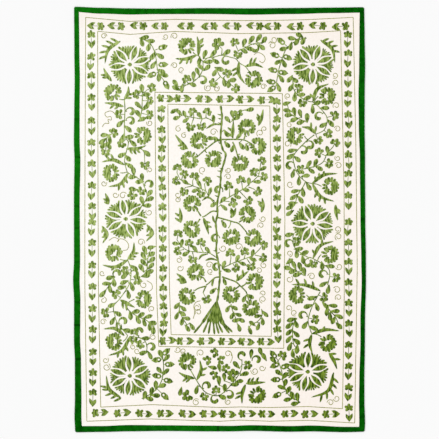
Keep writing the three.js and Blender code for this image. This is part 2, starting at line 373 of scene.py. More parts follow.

# Needlework: where each motif lies, and what it is. The pattern is a traditional one, listed
# here, and the functions further down make the shapes. A place is x and y.

# Corners and bends of each closed line of chain stitch, outermost first
FRAME_LINES = [
    [(-692, 1045), (-463, 1024), (-230, 1035), (-49, 1030), (209, 1028), (450, 1033), (691, 1045),
     (705, 380), (712, -250), (699, -1052), (457, -1038), (261, -1043), (106, -1037), (3, -1043),
     (-359, -1031), (-686, -1043), (-696, -350), (-696, 100)],
    [(-630, 973), (-463, 957), (-230, 972), (106, 961), (455, 966), (626, 976), (644, 150), (645, -380),
     (636, -978), (457, -967), (261, -972), (106, -969), (3, -972), (-349, -957), (-614, -970),
     (-626, -350), (-628, 100)],
    [(-334, 658), (325, 651), (338, 0), (332, -666), (-314, -656), (-325, -380)],
    [(-267, 596), (260, 587), (269, 0), (268, -604), (-250, -595), (-259, -340)],
]

# Sprigs of the two narrow borders. A row of flowers runs along each side, from `start` to `end`,
# and `places` are x or y of its flowers.
SprigRow = namedtuple("SprigRow", "heading start end places")
SPRIG_ROWS = [
    SprigRow(180, (-618, 1000), (649, 1000),
             [-618, -512, -398, -287, -153, -31, 88, 204, 295, 414, 532, 649]),
    SprigRow(0, (-639, -1001), (553, -1007),
             [-639, -525, -411, -302, -189, -80, 18, 119, 222, 341, 445, 553]),
    SprigRow(-90, (-664, 954), (-654, -897),
             [954, 840, 742, 628, 509, 396, 287, 173, 67, -16, -122, -238, -349, -463, -571, -688, -794,
              -897]),
    SprigRow(-90, (664, 954), (669, -975),
             [954, 858, 752, 646, 540, 437, 333, 235, 121, -16, -122, -222, -328, -434, -540, -651, -760,
              -871, -975]),
    SprigRow(0, (-302, 628), (220, 618), [-302, -215, -101, 5, 109, 220]),
    SprigRow(0, (-292, -628), (217, -631), [-292, -204, -93, 13, 116, 217]),
    SprigRow(-90, (-300, 569), (-289, -540),
             [569, 463, 365, 261, 163, 62, -52, -152, -256, -357, -450, -540]),
    SprigRow(-90, (296, 607), (299, -571),
             [607, 517, 414, 313, 212, 111, -8, -96, -191, -290, -390, -483, -571]),
]

# Rosettes: x, y, and the headings of the petals
ROSETTES = [
    (-464, 801, (130, 68, 20, -30, -92, 190)),
    (483, 802, (128, 68, 22, -33, -90, 192)),
    (-485, 3, (161, 100, 38, -5, -65, -146)),
    (481, -22, (112, 40, -9, -64, -117, 180)),
    (-464, -808, (92, 31, -38, -98, -150, 162)),
    (456, -787, (88, 18, -46, -105, -152, 160)),
]

# Carnations: x, y, and where it opens
CARNATIONS = [
    (-169, 896, -45), (176, 726, 135), (-551, 655, -45), (-397, 435, 180), (-558, 241, 0),
    (-546, -174, -45), (-394, -412, 180), (-544, -631, 0), (556, 638, 180), (393, 432, 0),
    (573, 171, 180), (571, -181, 180), (403, -390, 0), (559, -638, 135), (-166, -735, -60),
    (193, -908, 135), (142, 475, -90), (-105, 406, -45), (196, 380, 180), (-153, 308, 45),
    (-33, 313, 135), (106, 292, 90), (-143, 82, -60), (144, 27, -135), (-143, -48, 45), (61, -88, 110),
    (172, -93, 135), (-122, -273, -60), (182, -322, 180), (-167, -396, 45), (61, -387, 45),
    (163, -456, 110),
]

# The tree, from the top of its trunk down to the tips of its roots
TRUNK = [
    (6, 587), (13, 535), (10, 489), (6, 411), (17, 362), (32, 331), (9, 246), (6, 204), (1, 153),
    (-12, 82), (-10, 30), (-19, -20), (-13, -89), (-17, -159), (-5, -228), (2, -290), (-3, -349),
    (-8, -399), (-15, -431),
]
ROOT_TIPS = [
    (-134, -589), (-85, -587), (-57, -592), (-26, -595), (-3, -592), (17, -587), (52, -589), (68, -584),
]
BRANCHES = [
    [(5, 414), (-22, 402), (-66, 368), (-119, 321)], [(-83, 372), (-98, 388)], [(-75, 364), (-72, 349)],
    [(5, 414), (44, 414), (80, 414), (127, 411), (168, 390)], [(68, 401), (82, 370), (96, 318)],
    [(127, 416), (134, 442)], [(68, 420), (70, 458), (71, 504)],
    [(-10, 41), (-39, 42), (-75, 18), (-90, 13)], [(-101, 3), (-121, -28)],
    [(-96, 18), (-116, 49), (-134, 70)], [(-12, 11), (30, 0), (70, -12), (103, -24), (148, -76)],
    [(101, -13), (124, 0)], [(-3, -297), (-25, -302), (-60, -333), (-70, -339)],
    [(-70, -323), (-85, -300), (-109, -292)], [(-67, -344), (-106, -354), (-129, -368)],
    [(-70, -344), (-85, -378)],
    [(13, -296), (49, -309), (85, -323), (112, -348), (136, -372), (146, -400), (158, -434)],
    [(102, -344), (71, -368)], [(112, -348), (126, -340), (142, -327)],
]

# Thorns on the trunk: x and y of the foot, and heading
THORNS = [
    (8, 540, 170), (8, 520, 175), (6, 495, 160), (6, 392, 150), (12, 340, 150), (20, 262, 175),
    (8, 250, 180), (4, 218, 165), (-8, 118, 160), (-12, -163, 178), (-16, -178, 30), (-2, -270, 20),
]

# Curved leaves on the trunk, from end to end
SICKLES = [
    [(-68, 470), (-30, 492), (8, 489)], [(-90, 98), (-62, 115), (-25, 94)],
    [(-108, -208), (-92, -186), (-60, -178)], [(-73, -212), (-44, -203), (-8, -212)],
    [(-35, 20), (-31, -2), (-20, -22)], [(-38, -346), (-36, -325), (-28, -304)],
]

# Thin stems of the sprays
STEMS = [
    [(-25, 504), (-67, 525), (-90, 520), (-134, 527), (-163, 533), (-199, 543), (-222, 556),
     (-243, 569)],
    [(-133, 527), (-135, 551)], [(-70, 525), (-70, 543)], [(-90, 520), (-98, 499)],
    [(-133, 526), (-142, 499)], [(71, 499), (72, 525), (85, 551), (111, 561), (153, 571)],
    [(-28, 85), (-54, 116), (-70, 145), (-98, 160), (-137, 173), (-160, 186), (-199, 204), (-220, 240)],
    [(-72, 147), (-78, 184)], [(-137, 173), (-140, 199)], [(-196, 204), (-191, 225)],
    [(-142, 173), (-178, 165)],
    [(18, 98), (49, 114), (72, 129), (103, 147), (132, 163), (153, 184), (178, 204), (202, 230),
     (209, 266), (215, 297)],
    [(52, 116), (52, 153)], [(119, 158), (116, 184)], [(103, 147), (132, 116)],
    [(150, 168), (176, 158)], [(194, 222), (225, 222)], [(16, 96), (49, 93)],
    [(-13, -199), (-39, -181), (-54, -173), (-83, -171), (-116, -168), (-155, -163), (-178, -153),
     (-196, -137), (-220, -106)],
    [(-83, -171), (-98, -142)], [(-158, -160), (-160, -140)], [(-140, -168), (-134, -194)],
    [(-184, -155), (-207, -160)],
    [(16, -251), (49, -235), (70, -225), (98, -215), (127, -204), (155, -194), (178, -181), (202, -158),
     (220, -137)],
    [(54, -233), (59, -199)], [(127, -204), (132, -184)], [(70, -230), (80, -246)],
    [(142, -204), (160, -230)], [(184, -184), (215, -191)],
    [(-207, -432), (-207, -468), (-194, -504), (-168, -545)],
    [(59, -437), (70, -478), (85, -514), (96, -556)],
    [(217, -463), (220, -494), (199, -525), (163, -545), (147, -571)],
    [(-109, 847), (-86, 818), (-62, 835), (-28, 840), (11, 849), (59, 838), (85, 830), (103, 809),
     (135, 789), (158, 757)],
    [(11, 850), (13, 881)], [(-173, 695), (-137, 711), (-103, 742), (-88, 773), (-85, 794), (-86, 818)],
    [(-20, 788), (0, 745), (27, 721), (55, 700), (80, 682)],
    [(-492, 620), (-489, 566), (-492, 478), (-489, 427), (-471, 396), (-489, 323), (-489, 287),
     (-478, 248)],
    [(-416, 375), (-390, 349), (-388, 318)],
    [(-416, 51), (-375, 116), (-390, 173), (-406, 204), (-447, 225), (-478, 246)],
    [(-384, 150), (-412, 153), (-436, 158)],
    [(-475, -209), (-458, -256), (-461, -313), (-475, -351), (-516, -410), (-544, -441), (-548, -468),
     (-540, -499), (-530, -530), (-475, -600)],
    [(-461, -604), (-395, -618), (-375, -659), (-382, -694)],
    [(-408, 938), (-364, 915), (-340, 878), (-328, 830), (-323, 788), (-313, 754), (-288, 719)],
    [(-412, 520), (-402, 566), (-397, 636), (-378, 668)],
    [(450, 938), (408, 929), (375, 910), (348, 886), (330, 850), (310, 788), (302, 754), (292, 690)],
    [(379, 738), (383, 676), (417, 634), (463, 610), (483, 607), (521, 575), (556, 524), (542, 465),
     (497, 440)],
    [(437, 509), (401, 525), (364, 551), (349, 602)],
    [(490, 438), (450, 406), (400, 355), (382, 325), (383, 297), (403, 238), (445, 196), (479, 186)],
    [(438, 262), (497, 276), (535, 297), (556, 339), (587, 376)],
    [(379, -89), (389, -145), (452, -193), (479, -200), (556, -246), (570, -283), (559, -339)],
    [(521, -372), (483, -441), (462, -500), (459, -535), (476, -590)],
    [(400, -510), (379, -555), (383, -642), (414, -678)],
    [(418, -946), (385, -925), (355, -904), (329, -842), (322, -787), (303, -729)],
    [(-164, -752), (-127, -818), (-85, -881), (-47, -905), (3, -907), (65, -849), (110, -783),
     (116, -746)],
    [(-402, -926), (-342, -892), (-302, -840), (-289, -770), (-295, -701)],
    [(-398, -294), (-376, -262), (-370, -200), (-350, -138)],
    [(-488, -442), (-462, -477), (-420, -502), (-380, -520), (-350, -545), (-338, -570)],
    [(547, -441), (572, -472), (600, -505), (618, -548)],
    [(445, 196), (431, 168), (402, 123), (392, 85), (376, 60), (365, 30)],
    [(439, -290), (405, -272), (378, -258), (362, -245), (360, -200)],
    [(-546, -306), (-562, -332), (-580, -354), (-597, -373)],
    [(-556, 444), (-581, 424), (-585, 392), (-588, 362)],
    [(96, 872), (128, 886), (165, 905), (203, 912), (240, 918)],
]

# Small flowers: x, y and how wide each is
BLOSSOMS = [
    (-8, 906, 56), (79, 915, 40), (94, 854, 40), (39, 754, 42), (-171, 724, 42), (-31, 707, 42),
    (85, 678, 40), (-519, 544, 42), (-352, 681, 42), (-427, 647, 42), (-364, 614, 40), (-364, 541, 42),
    (-548, 449, 42), (-506, 392, 42), (-588, 348, 42), (-385, 283, 42), (-451, 124, 42),
    (-402, 148, 40), (-485, -263, 40), (-427, -314, 42), (-534, -386, 42), (-589, -482, 44),
    (-440, -583, 38), (-447, -621, 38), (-409, -645, 40), (408, 679, 42), (428, 603, 42),
    (594, 538, 42), (562, 444, 42), (511, 409, 40), (597, 396, 42), (516, 345, 42), (421, 259, 42),
    (566, 290, 42), (397, -114, 42), (486, -228, 40), (601, -300, 42), (538, -403, 42), (493, -517, 42),
    (325, -703, 42), (-27, -690, 42), (-64, -728, 40), (9, -726, 40), (34, -771, 40), (-31, -804, 40),
    (144, -752, 42), (-166, -912, 50), (-79, -915, 40), (-17, -883, 40), (-140, 558, 40),
    (-64, 555, 40), (-150, 479, 42), (-93, 482, 42), (96, 551, 42), (-218, 267, 40), (-183, 234, 38),
    (-223, 200, 40), (-129, 221, 42), (-64, 200, 42), (-183, 146, 42), (-95, 134, 40), (220, 303, 40),
    (180, 245, 42), (229, 221, 40), (111, 203, 42), (45, 174, 42), (196, 144, 42), (149, 98, 42),
    (68, 87, 42), (-214, -75, 42), (-157, -124, 40), (-95, -120, 42), (-216, -162, 40),
    (-138, -205, 42), (227, -133, 42), (56, -174, 42), (130, -168, 40), (224, -197, 40),
    (163, -242, 42), (85, -250, 40), (-67, -413, 42), (70, -806, 56),
]

# Middles of the smaller motifs
EYED_LEAVES = [
    (-292, 891), (-290, 801), (-351, 747), (-274, 694), (317, 923), (285, 851), (353, 837), (275, 773),
    (330, 759), (265, 712), (268, 674), (-275, -683), (-326, -726), (-257, -749), (-326, -808),
    (-264, -834), (-281, -915), (277, -697), (284, -755), (342, -758), (289, -828), (296, -909),
]
HOOKS = [
    (34, 823), (182, 886), (-88, 721), (-461, 558), (-461, 510), (-364, 182), (-440, -283),
    (-530, -280), (-499, -527), (-413, -580), (-354, -659), (514, 534), (466, 385), (433, 359),
    (365, 279), (358, -124), (459, -224), (535, -283), (431, -496), (116, -704), (191, -725),
    (-67, -860), (-24, -929), (51, -905), (-5, 152), (-22, -97), (-14, -246),
]
CURLS = [
    (-598, 948), (-280, 945), (-233, 948), (-233, 796), (-197, 774), (-60, 680), (-15, 676), (227, 687),
    (280, 929), (272, 900), (597, 745), (601, 707), (352, 638), (604, 589), (362, 489), (610, 468),
    (352, 390), (611, 317), (615, 279), (365, 182), (611, -51), (615, -89), (362, -176), (618, -244),
    (362, -309), (476, -294), (607, -364), (615, -403), (358, -458), (386, -482), (574, -947),
    (605, -925), (-361, 499), (-361, 255), (-598, 186), (-538, 127), (-499, 124), (-364, 37),
    (-406, -117), (-607, -278), (-392, -338), (-600, -417), (-351, -462), (-601, -529), (-447, -659),
    (-427, -680), (-344, -607), (-589, -728), (-584, -763), (-216, -673), (-187, -680), (-98, -690),
    (44, -694), (182, -784), (220, -768), (-121, -945), (44, -943), (-31, 452), (-212, 468),
    (-184, 434), (231, 468), (210, 447), (-88, 255), (-216, 127), (-216, 103), (45, 255), (44, 221),
    (224, 4), (214, -31), (18, -148), (99, -141), (-209, -209), (-204, -252), (-53, -235), (-48, -269),
    (229, -237), (205, -264), (-116, -455), (-109, -479), (225, -382), (224, -413),
]
LEAVES = [
    (-390, 943), (-400, 918), (-359, 925), (-364, 892), (-346, 847), (-308, 847), (-342, 799),
    (-302, 768), (-315, 737), (-288, 747), (-75, 853), (-106, 821), (-60, 816), (-34, 858), (-20, 821),
    (35, 865), (129, 913), (165, 927), (203, 936), (230, 927), (217, 892), (153, 884), (125, 870),
    (-95, 785), (-67, 785), (-114, 764), (-134, 742), (-25, 761), (-1, 780), (-140, 698), (-228, 702),
    (-223, 678), (-192, 679), (25, 711), (45, 701), (65, 719), (-402, 676), (-380, 645), (-420, 589),
    (-382, 579), (-421, 544), (-402, 516), (-513, 496), (-475, 468), (-593, 434), (-565, 416),
    (-603, 407), (-598, 382), (-572, 385), (-468, 427), (-499, 421), (-447, 397), (-378, 342),
    (-505, 335), (-475, 317), (-465, 281), (-447, 248), (-449, 217), (-399, 217), (-413, 196),
    (-446, 157), (-361, 134), (-401, 96), (-361, 103), (-376, 73), (-352, -143), (-385, -159),
    (-354, -179), (-392, -190), (-352, -209), (-389, -224), (-357, -240), (-404, -252), (-364, -268),
    (-382, -292), (-489, -290), (-444, -249), (-565, -300), (-581, -332), (-546, -325), (-492, -325),
    (-505, -349), (-454, -347), (-565, -354), (-603, -381), (-471, -387), (-558, -441), (-527, -488),
    (-551, -524), (-480, -572), (-463, -496), (-434, -479), (-420, -517), (-406, -496), (-389, -531),
    (-371, -503), (-361, -552), (-347, -535), (-340, -572), (-385, -614), (-392, -690), (-361, -701),
    (-306, -697), (-275, -716), (-309, -780), (-278, -790), (-330, -858), (-298, -861), (-352, -891),
    (-331, -910), (-389, -908), (-364, -927), (376, 934), (402, 920), (414, 950), (434, 923),
    (370, 896), (334, 882), (307, 813), (334, 809), (317, 728), (308, 683), (363, 728), (389, 724),
    (369, 684), (388, 634), (421, 645), (452, 628), (504, 600), (481, 572), (543, 574), (573, 498),
    (537, 491), (348, 600), (352, 561), (358, 538), (389, 558), (388, 516), (419, 548), (452, 525),
    (421, 503), (376, 359), (367, 328), (400, 312), (559, 356), (573, 338), (379, 238), (459, 283),
    (473, 255), (495, 292), (514, 264), (412, 200), (445, 224), (461, 172), (393, 148), (434, 141),
    (383, 117), (416, 103), (379, 84), (367, 63), (365, 34), (363, -79), (408, -151), (397, -176),
    (438, -173), (431, -207), (528, -238), (570, -242), (538, -333), (362, -218), (355, -249),
    (386, -238), (379, -269), (414, -245), (403, -283), (438, -269), (562, -361), (478, -403),
    (459, -448), (504, -451), (441, -545), (483, -559), (547, -441), (585, -445), (556, -474),
    (599, -472), (573, -500), (616, -503), (590, -521), (618, -548), (372, -517), (398, -538),
    (362, -548), (362, -581), (397, -590), (362, -619), (397, -631), (363, -656), (400, -670),
    (381, -692), (278, -729), (306, -793), (337, -809), (337, -846), (322, -871), (355, -882),
    (378, -911), (355, -929), (405, -918), (391, -951), (-202, -888), (-116, -880), (14, -915),
    (28, -872), (-36, -765), (-1, -766), (-1, -834), (23, -815), (77, -853), (129, -801), (102, -839),
    (89, -752), (165, -694), (214, -683), (231, -711), (-233, 561), (-206, 551), (-221, 527),
    (-181, 544), (-103, 538), (-33, 520), (-174, 515), (42, 516), (85, 524), (65, 544), (155, 570),
    (-15, 416), (-43, 418), (37, 447), (40, 389), (115, 382), (98, 430), (68, 369), (142, 374),
    (92, 118), (-174, 193), (-105, 181), (-124, 151), (-48, 144), (-29, 79), (222, 262), (193, 194),
    (153, 196), (135, 151), (87, 141), (18, 99), (21, 62), (20, -24), (-224, -124), (-195, -124),
    (-173, -176), (-126, -154), (-60, -160), (170, -176), (172, -204), (94, -204), (116, -228),
    (23, -235), (37, -261), (28, -318), (-33, -368), (130, -410), (160, -396), (-219, -445),
    (-188, -458), (-219, -496), (-193, -484), (-193, -527), (-171, -512), (-168, -562), (-143, -552),
    (44, -462), (75, -457), (65, -496), (96, -491), (87, -524), (110, -522), (99, -560), (236, -486),
    (200, -500), (222, -527), (169, -540), (198, -552), (158, -572),
]

# Longer curling lines
TENDRILS = [
    [(-538, 545), (-562, 561), (-592, 550), (-583, 530), (-562, 532), (-560, 514), (-577, 517),
     (-572, 497), (-592, 497), (-607, 479)],
    [(-572, -108), (-545, -93), (-520, -104), (-528, -116), (-515, -100), (-486, -108), (-470, -132),
     (-478, -156), (-500, -160)],
    [(-376, -316), (-352, -332), (-348, -358), (-368, -374)],
    [(-98, -420), (-122, -428), (-133, -450), (-128, -480), (-136, -513)],
    [(46, -680), (61, -690), (66, -715), (56, -742)],
    [(178, 852), (200, 863), (227, 850), (236, 828), (222, 810), (206, 820)],
]

# Serrated leaves: base, tip, how far the middle bows to the left of that line, the side of the
# teeth, 1 for left and -1 for right, how many they are, how far they reach, and where along the
# leaf the first and the last one grow
Feather = namedtuple("Feather", "base tip bow teeth count reach first last")
FEATHERS = [
    ((-513, 922), (-593, 805), -26, -1, 5, 46, 0.05, 0.75),
    ((-558, 715), (-600, 785), 4, 1, 2, 34, 0.3, 0.5),
    ((-109, 847), (-116, 948), -5, -1, 3, 34, 0.4, 0.7),
    ((-119, 849), (-230, 832), 11, 1, 3, 32, 0.25, 0.65),
    ((134, 792), (227, 785), 14, 1, 2, 38, 0.28, 0.42),
    ((101, 816), (132, 700), -18, -1, 2, 40, 0.25, 0.45),
    ((-492, 620), (-471, 690), -9, -1, 2, 34, 0.15, 0.38),
    ((-496, 584), (-596, 603), -4, 1, 2, 34, 0.25, 0.5),
    ((-482, 366), (-378, 383), -9, -1, 3, 32, 0.15, 0.5),
    ((-492, 283), (-610, 297), -18, -1, 2, 34, 0.5, 0.7),
    ((-471, 241), (-575, 169), 24, 1, 3, 30, 0.25, 0.6),
    ((-574, 78), (-591, 137), -3, 1, 2, 26, 0.05, 0.3),
    ((-607, -34), (-605, -124), 24, -1, 3, 28, 0.15, 0.6),
    ((-375, -27), (-380, -114), 30, -1, 3, 30, 0.15, 0.6),
    ((-475, -207), (-442, -117), -14, -1, 3, 32, 0.05, 0.42),
    ((-475, -210), (-607, -235), 23, 1, 2, 20, 0.35, 0.55),
    ((-513, -416), (-437, -455), 0, -1, 2, 42, 0.18, 0.4),
    ((-492, -600), (-600, -566), -20, -1, 2, 38, 0.25, 0.45),
    ((-465, -607), (-575, -704), 27, 1, 3, 30, 0.3, 0.65),
    ((-510, -922), (-586, -805), 26, 1, 5, 40, 0.02, 0.62),
    ((523, 927), (597, 809), 26, 1, 4, 38, 0.12, 0.6),
    ((483, 610), (566, 702), 26, 1, 2, 30, 0.12, 0.55),
    ((497, 444), (424, 479), -11, -1, 2, 36, 0.1, 0.4),
    ((479, 186), (611, 238), 19, 1, 3, 24, 0.15, 0.5),
    ((479, 186), (594, 93), -25, -1, 3, 30, 0.3, 0.65),
    ((600, 76), (611, -5), -3, 1, 2, 28, 0.25, 0.45),
    ((483, -200), (590, -112), 26, 1, 2, 28, 0.15, 0.55),
    ((521, -368), (372, -336), -12, -1, 3, 36, 0.22, 0.72),
    ((479, -590), (621, -576), 13, 1, 2, 20, 0.2, 0.4),
    ((476, -594), (480, -692), -12, -1, 2, 38, 0.25, 0.5),
    ((566, -690), (608, -775), 5, 1, 2, 38, 0.12, 0.38),
    ((590, -791), (473, -920), 42, 1, 5, 40, 0.15, 0.75),
    ((-129, -822), (-212, -790), 6, 1, 2, 36, 0.25, 0.45),
    ((-116, -829), (-102, -725), -14, -1, 2, 36, 0.25, 0.48),
    ((137, -848), (239, -841), 0, 1, 3, 32, 0.05, 0.5),
    ((134, -853), (116, -953), -8, -1, 2, 38, 0.42, 0.62),
    ((201, 485), (226, 571), -4, 1, 2, 34, 0.25, 0.45),
    ((-164, 364), (-230, 440), 3, 1, 3, 32, 0.05, 0.35),
    ((-201, -17), (-207, 62), -4, 1, 2, 34, 0.1, 0.4),
    ((217, 37), (220, 113), -7, 1, 2, 34, 0.35, 0.6),
    ((57, 9), (85, 62), -5, 1, 2, 34, 0.25, 0.5),
    ((-171, -328), (-223, -278), -3, 1, 3, 32, 0.05, 0.4),
    ((85, -318), (151, -266), 0, 1, 2, 30, 0.2, 0.55),
    ((-83, 8), (-56, -78), 3, 1, 2, 30, 0.25, 0.5),
    ((66, 424), (72, 504), 0, 1, 2, 34, 0.12, 0.45),
]


# Shape of the cloth

def smoothstep(value, low, high):
    share = np.clip((value - low) / (high - low), 0, 1)
    return share * share * (3 - 2 * share)


def at_edge(name, column, at):
    """One column of a side's table at any place, eased from row to row."""
    table = dict(zip(EDGE_COLUMNS, np.array(SIDES[name].rows, float).T))
    places, values = table["at"], table[column]
    place = np.clip(at, places[0], places[-1])
    after = np.clip(np.searchsorted(places, place), 1, len(places) - 1)
    share = smoothstep(place, places[after - 1], places[after])
    return values[after - 1] + (values[after] - values[after - 1]) * share


def ridges(rows, reach, place):
    total = np.zeros_like(np.asarray(place, float))
    for at, height in rows:
        away = np.minimum(np.abs(place - at) / reach, 1)
        total = total + height * (1 + np.cos(np.pi * away)) / 2
    return total


def tucks_at(name, place):
    return ridges(SIDES[name].tucks, TUCK_REACH, place)


def runs_along_x(name):
    return SIDES[name].before == "left"


def place_on(name, along, out):
    """The x and y of a place along a side and out from the middle."""
    across = SIDES[name].end * out
    return (along, across) if runs_along_x(name) else (across, along)


def lift_of_ground(x, y):
    """How far the binding's lower layer holds the ground up at a place."""
    lift = np.zeros_like(np.asarray(x, float))
    for name, side in SIDES.items():
        across, along = (y, x) if runs_along_x(name) else (x, y)
        inner_edge = at_edge(name, "out", along) - at_edge(name, "width", along)
        past = inner_edge - side.end * across
        down = smoothstep(past, SLOPE_START, SLOPE_END)
        lift = np.maximum(lift, GROUND_LIFT * (1 - down))
    return lift


def pucker(x, y):
    """Small waves that the stitching leaves in the cloth, from 0 to PUCKER_HEIGHT."""
    random = np.random.default_rng(PUCKER_SEED)
    total = np.zeros_like(np.asarray(x, float))
    for _ in range(PUCKER_WAVES):
        length = random.uniform(*PUCKER_LENGTHS)
        heading = random.uniform(0, math.pi)
        phase = random.uniform(0, 2 * math.pi)
        run = x * math.cos(heading) + y * math.sin(heading)
        total = total + np.sin(2 * math.pi * run / length + phase)
    spread = math.sqrt(PUCKER_WAVES / 2)
    return PUCKER_HEIGHT * (0.5 + 0.5 * np.tanh(total / spread))


def underside(x, y):
    lift = lift_of_ground(x, y)
    crease = ridges(LENGTHWISE_CREASES, CREASE_REACH, x) + ridges(CROSSWISE_CREASES, CREASE_REACH, y)
    free = 1 - lift / GROUND_LIFT
    return lift + (crease + pucker(x, y)) * free


def face(x, y):
    """Height of the cloth's upper face."""
    return underside(x, y) + GROUND_THICKNESS


# Meshes

def mesh_piece(name, points, faces, material):
    """A smooth piece from points in millimetres, riding on the part's one body."""
    mesh = bpy.data.meshes.new(name)
    mesh.from_pydata((np.asarray(points, float) * MM).tolist(), [], faces)
    mesh.validate()
    mesh.polygons.foreach_set("use_smooth", [True] * len(mesh.polygons))
    mesh.materials.append(material)
    mesh.update()
    piece = bpy.data.objects.new(name, mesh)
    bpy.context.scene.collection.objects.link(piece)
    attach(piece, "root")
    return piece


# Ground cloth: a fine grid whose outer lines follow the uneven edges

Line = namedtuple("Line", "side past at")


def grid_lines(low_side, high_side, half):
    """Grid lines in one direction; one near an edge is `past` the binding's inner edge."""
    slope = list(range(SLOPE_START, SLOPE_END + 1, SLOPE_GRID_STEP))
    past = [None] + slope + [SLOPE_END + SLOPE_GRID_MARGIN]
    low = [Line(low_side, step, -half) for step in past]
    high = [Line(high_side, step, half) for step in reversed(past)]
    first = half - SLOPE_END - EVEN_GRID_INSET
    count = round(2 * first / GROUND_STEP)
    middle = [Line(None, None, at) for at in np.linspace(-first, first, count + 1)]
    return low + middle + high


def line_place(line, at):
    """Where a grid line runs, for each place on it."""
    if line.side is None:
        return np.full_like(at, line.at)
    depth = RAW_EDGE_DEPTH
    if line.past is not None:
        depth = at_edge(line.side, "width", at) + line.past
    return SIDES[line.side].end * (at_edge(line.side, "out", at) - depth)


def closed_grid_faces(rows, across):
    """Quads of an upper and a lower layer of a grid, and of the rim between them."""
    layer = rows * across
    index = np.arange(layer).reshape(rows, across)
    a, b = index[:-1, :-1].ravel(), index[:-1, 1:].ravel()
    c, d = index[1:, 1:].ravel(), index[1:, :-1].ravel()
    below = np.stack([a, d, c, b], 1)
    above = np.stack([a, b, c, d], 1) + layer
    rim = np.concatenate([index[0, :-1], index[:-1, -1], index[-1, :0:-1], index[::-1, 0]])
    after = np.roll(rim, -1)
    sides = np.stack([rim, after, after + layer, rim + layer], 1)[:-1]
    return np.concatenate([below, above, sides]).tolist()


def make_ground(material):
    columns = grid_lines("left", "right", NOMINAL_HALF_WIDTH)
    rows = grid_lines("bottom", "top", NOMINAL_HALF_LENGTH)
    down = np.array([row.at for row in rows], float)
    over = np.array([column.at for column in columns], float)
    x = np.stack([line_place(column, down) for column in columns], 1)
    y = np.stack([line_place(row, over) for row in rows], 0)
    low = underside(x, y)
    layers = [np.stack([x, y, low + rise], 2).reshape(-1, 3) for rise in (0, GROUND_THICKNESS)]
    faces = closed_grid_faces(len(rows), len(columns))
    return mesh_piece("ground_sheet", np.concatenate(layers), faces, material)


# Binding: a folded section lofted from mitre to mitre

def fold_arc(across, up, steps):
    angles = np.linspace(-math.pi / 2, math.pi / 2, steps + 1)
    return [(FOLD_DEPTH - across * math.cos(a), FOLD_HEIGHT / 2 + up * math.sin(a)) for a in angles]


def fold_section(width, raised):
    """Depth in from the fold and height, once round; `raised` lifts the upper layer."""
    edge_height = FOLD_HEIGHT - EDGE_DROP
    upper_inside = FOLD_HEIGHT - BINDING_LAYER
    bottom = [(width * share, 0) for share in THIRDS[::-1]]
    outer = fold_arc(FOLD_DEPTH, FOLD_HEIGHT / 2, FOLD_STEPS)
    upper = [
        (width * share, FOLD_HEIGHT + raised - drop)
        for share, drop in zip(UPPER_SHARES, UPPER_DROPS)
    ]
    turned = [
        (width - EDGE_ROUNDING, edge_height + EDGE_SWELL),
        (width, edge_height - EDGE_ROUNDING),
    ]
    under = [(width * share, upper_inside) for share in THIRDS[::-1]]
    inner = fold_arc(FOLD_DEPTH - BINDING_LAYER, FOLD_HEIGHT / 2 - BINDING_LAYER, INNER_FOLD_STEPS)
    lower = [(width * share, BINDING_LAYER) for share in THIRDS]
    return bottom + outer + upper + turned + under + inner[::-1] + lower


Station = namedtuple("Station", "at sign corner across from_corner share")


def stations_of(name):
    """Stations along a strip; `share` is how far one has turned into its corner's mitre."""
    side = SIDES[name]
    ends = []
    for sign, neighbour in ((-1, side.before), (1, side.after)):
        corner = float(at_edge(neighbour, "out", side.end * math.inf))
        across = float(at_edge(neighbour, "width", side.end * math.inf))
        reach = across + MITRE_RUN
        ends.append([
            Station(sign * (corner - step), sign, corner, across, step, 1 - step / reach)
            for step in (*MITRE_STEPS, reach)
        ])
    low, high = ends[0], ends[1][::-1]
    count = round((high[0].at - low[-1].at) / BINDING_STEP)
    places = np.linspace(low[-1].at, high[0].at, count + 1)[1:-1]
    middle = [Station(at, 1, 0, 0, 0, 0) for at in places]
    return low + middle + high


def corner_rounding(from_corner):
    """How far the rounding moves a station's outer points: along, and in."""
    turn = max(0, 1 - from_corner / CORNER_RADIUS) * math.pi / 4
    on_arc = min(from_corner, CORNER_RADIUS)
    along = CORNER_RADIUS * (1 - math.sin(turn)) - on_arc
    return along, CORNER_RADIUS * (1 - math.cos(turn))


def ripple(at, share_in):
    """Slight waves of the strip between the fold and its sewing."""
    wave = sum(np.sin(at / length + phase) for length, phase in RIPPLE_WAVES)
    return RIPPLE_HEIGHT * wave / len(RIPPLE_WAVES) * math.sin(math.pi * min(share_in, 1))


def strip_loop(name, station):
    """Points of the folded section at a station, turned into the mitre near a corner."""
    out = float(at_edge(name, "out", station.at))
    width = float(at_edge(name, "width", station.at))
    tuck = float(tucks_at(name, station.at))
    points = []
    for depth, height in fold_section(width, tuck):
        share_in = depth / width
        along, inward = station.at, depth
        if station.share > 0:
            square = station.corner - station.across - MITRE_RUN
            mitre = station.corner - share_in * station.across - MITRE_EASE
            shift, inset = corner_rounding(station.from_corner)
            fade = max(0, 1 - share_in / CORNER_FADE)
            place = square + (mitre - square) * station.share
            along = station.sign * (place - shift * fade)
            inward += inset * fade
        if height > FOLD_HEIGHT - BINDING_LAYER / 2:
            height += ripple(station.at, share_in)
        points.append((*place_on(name, along, out - inward), height))
    return points


def lofted_faces(loops, around):
    """Quads between loops that follow each other, and a cap at each end."""
    faces = []
    for k in range(loops - 1):
        for i in range(around):
            a, b = k * around + i, k * around + (i + 1) % around
            faces.append((a, b, b + around, a + around))
    last = (loops - 1) * around
    return faces + [tuple(range(around))[::-1], tuple(range(last, last + around))]


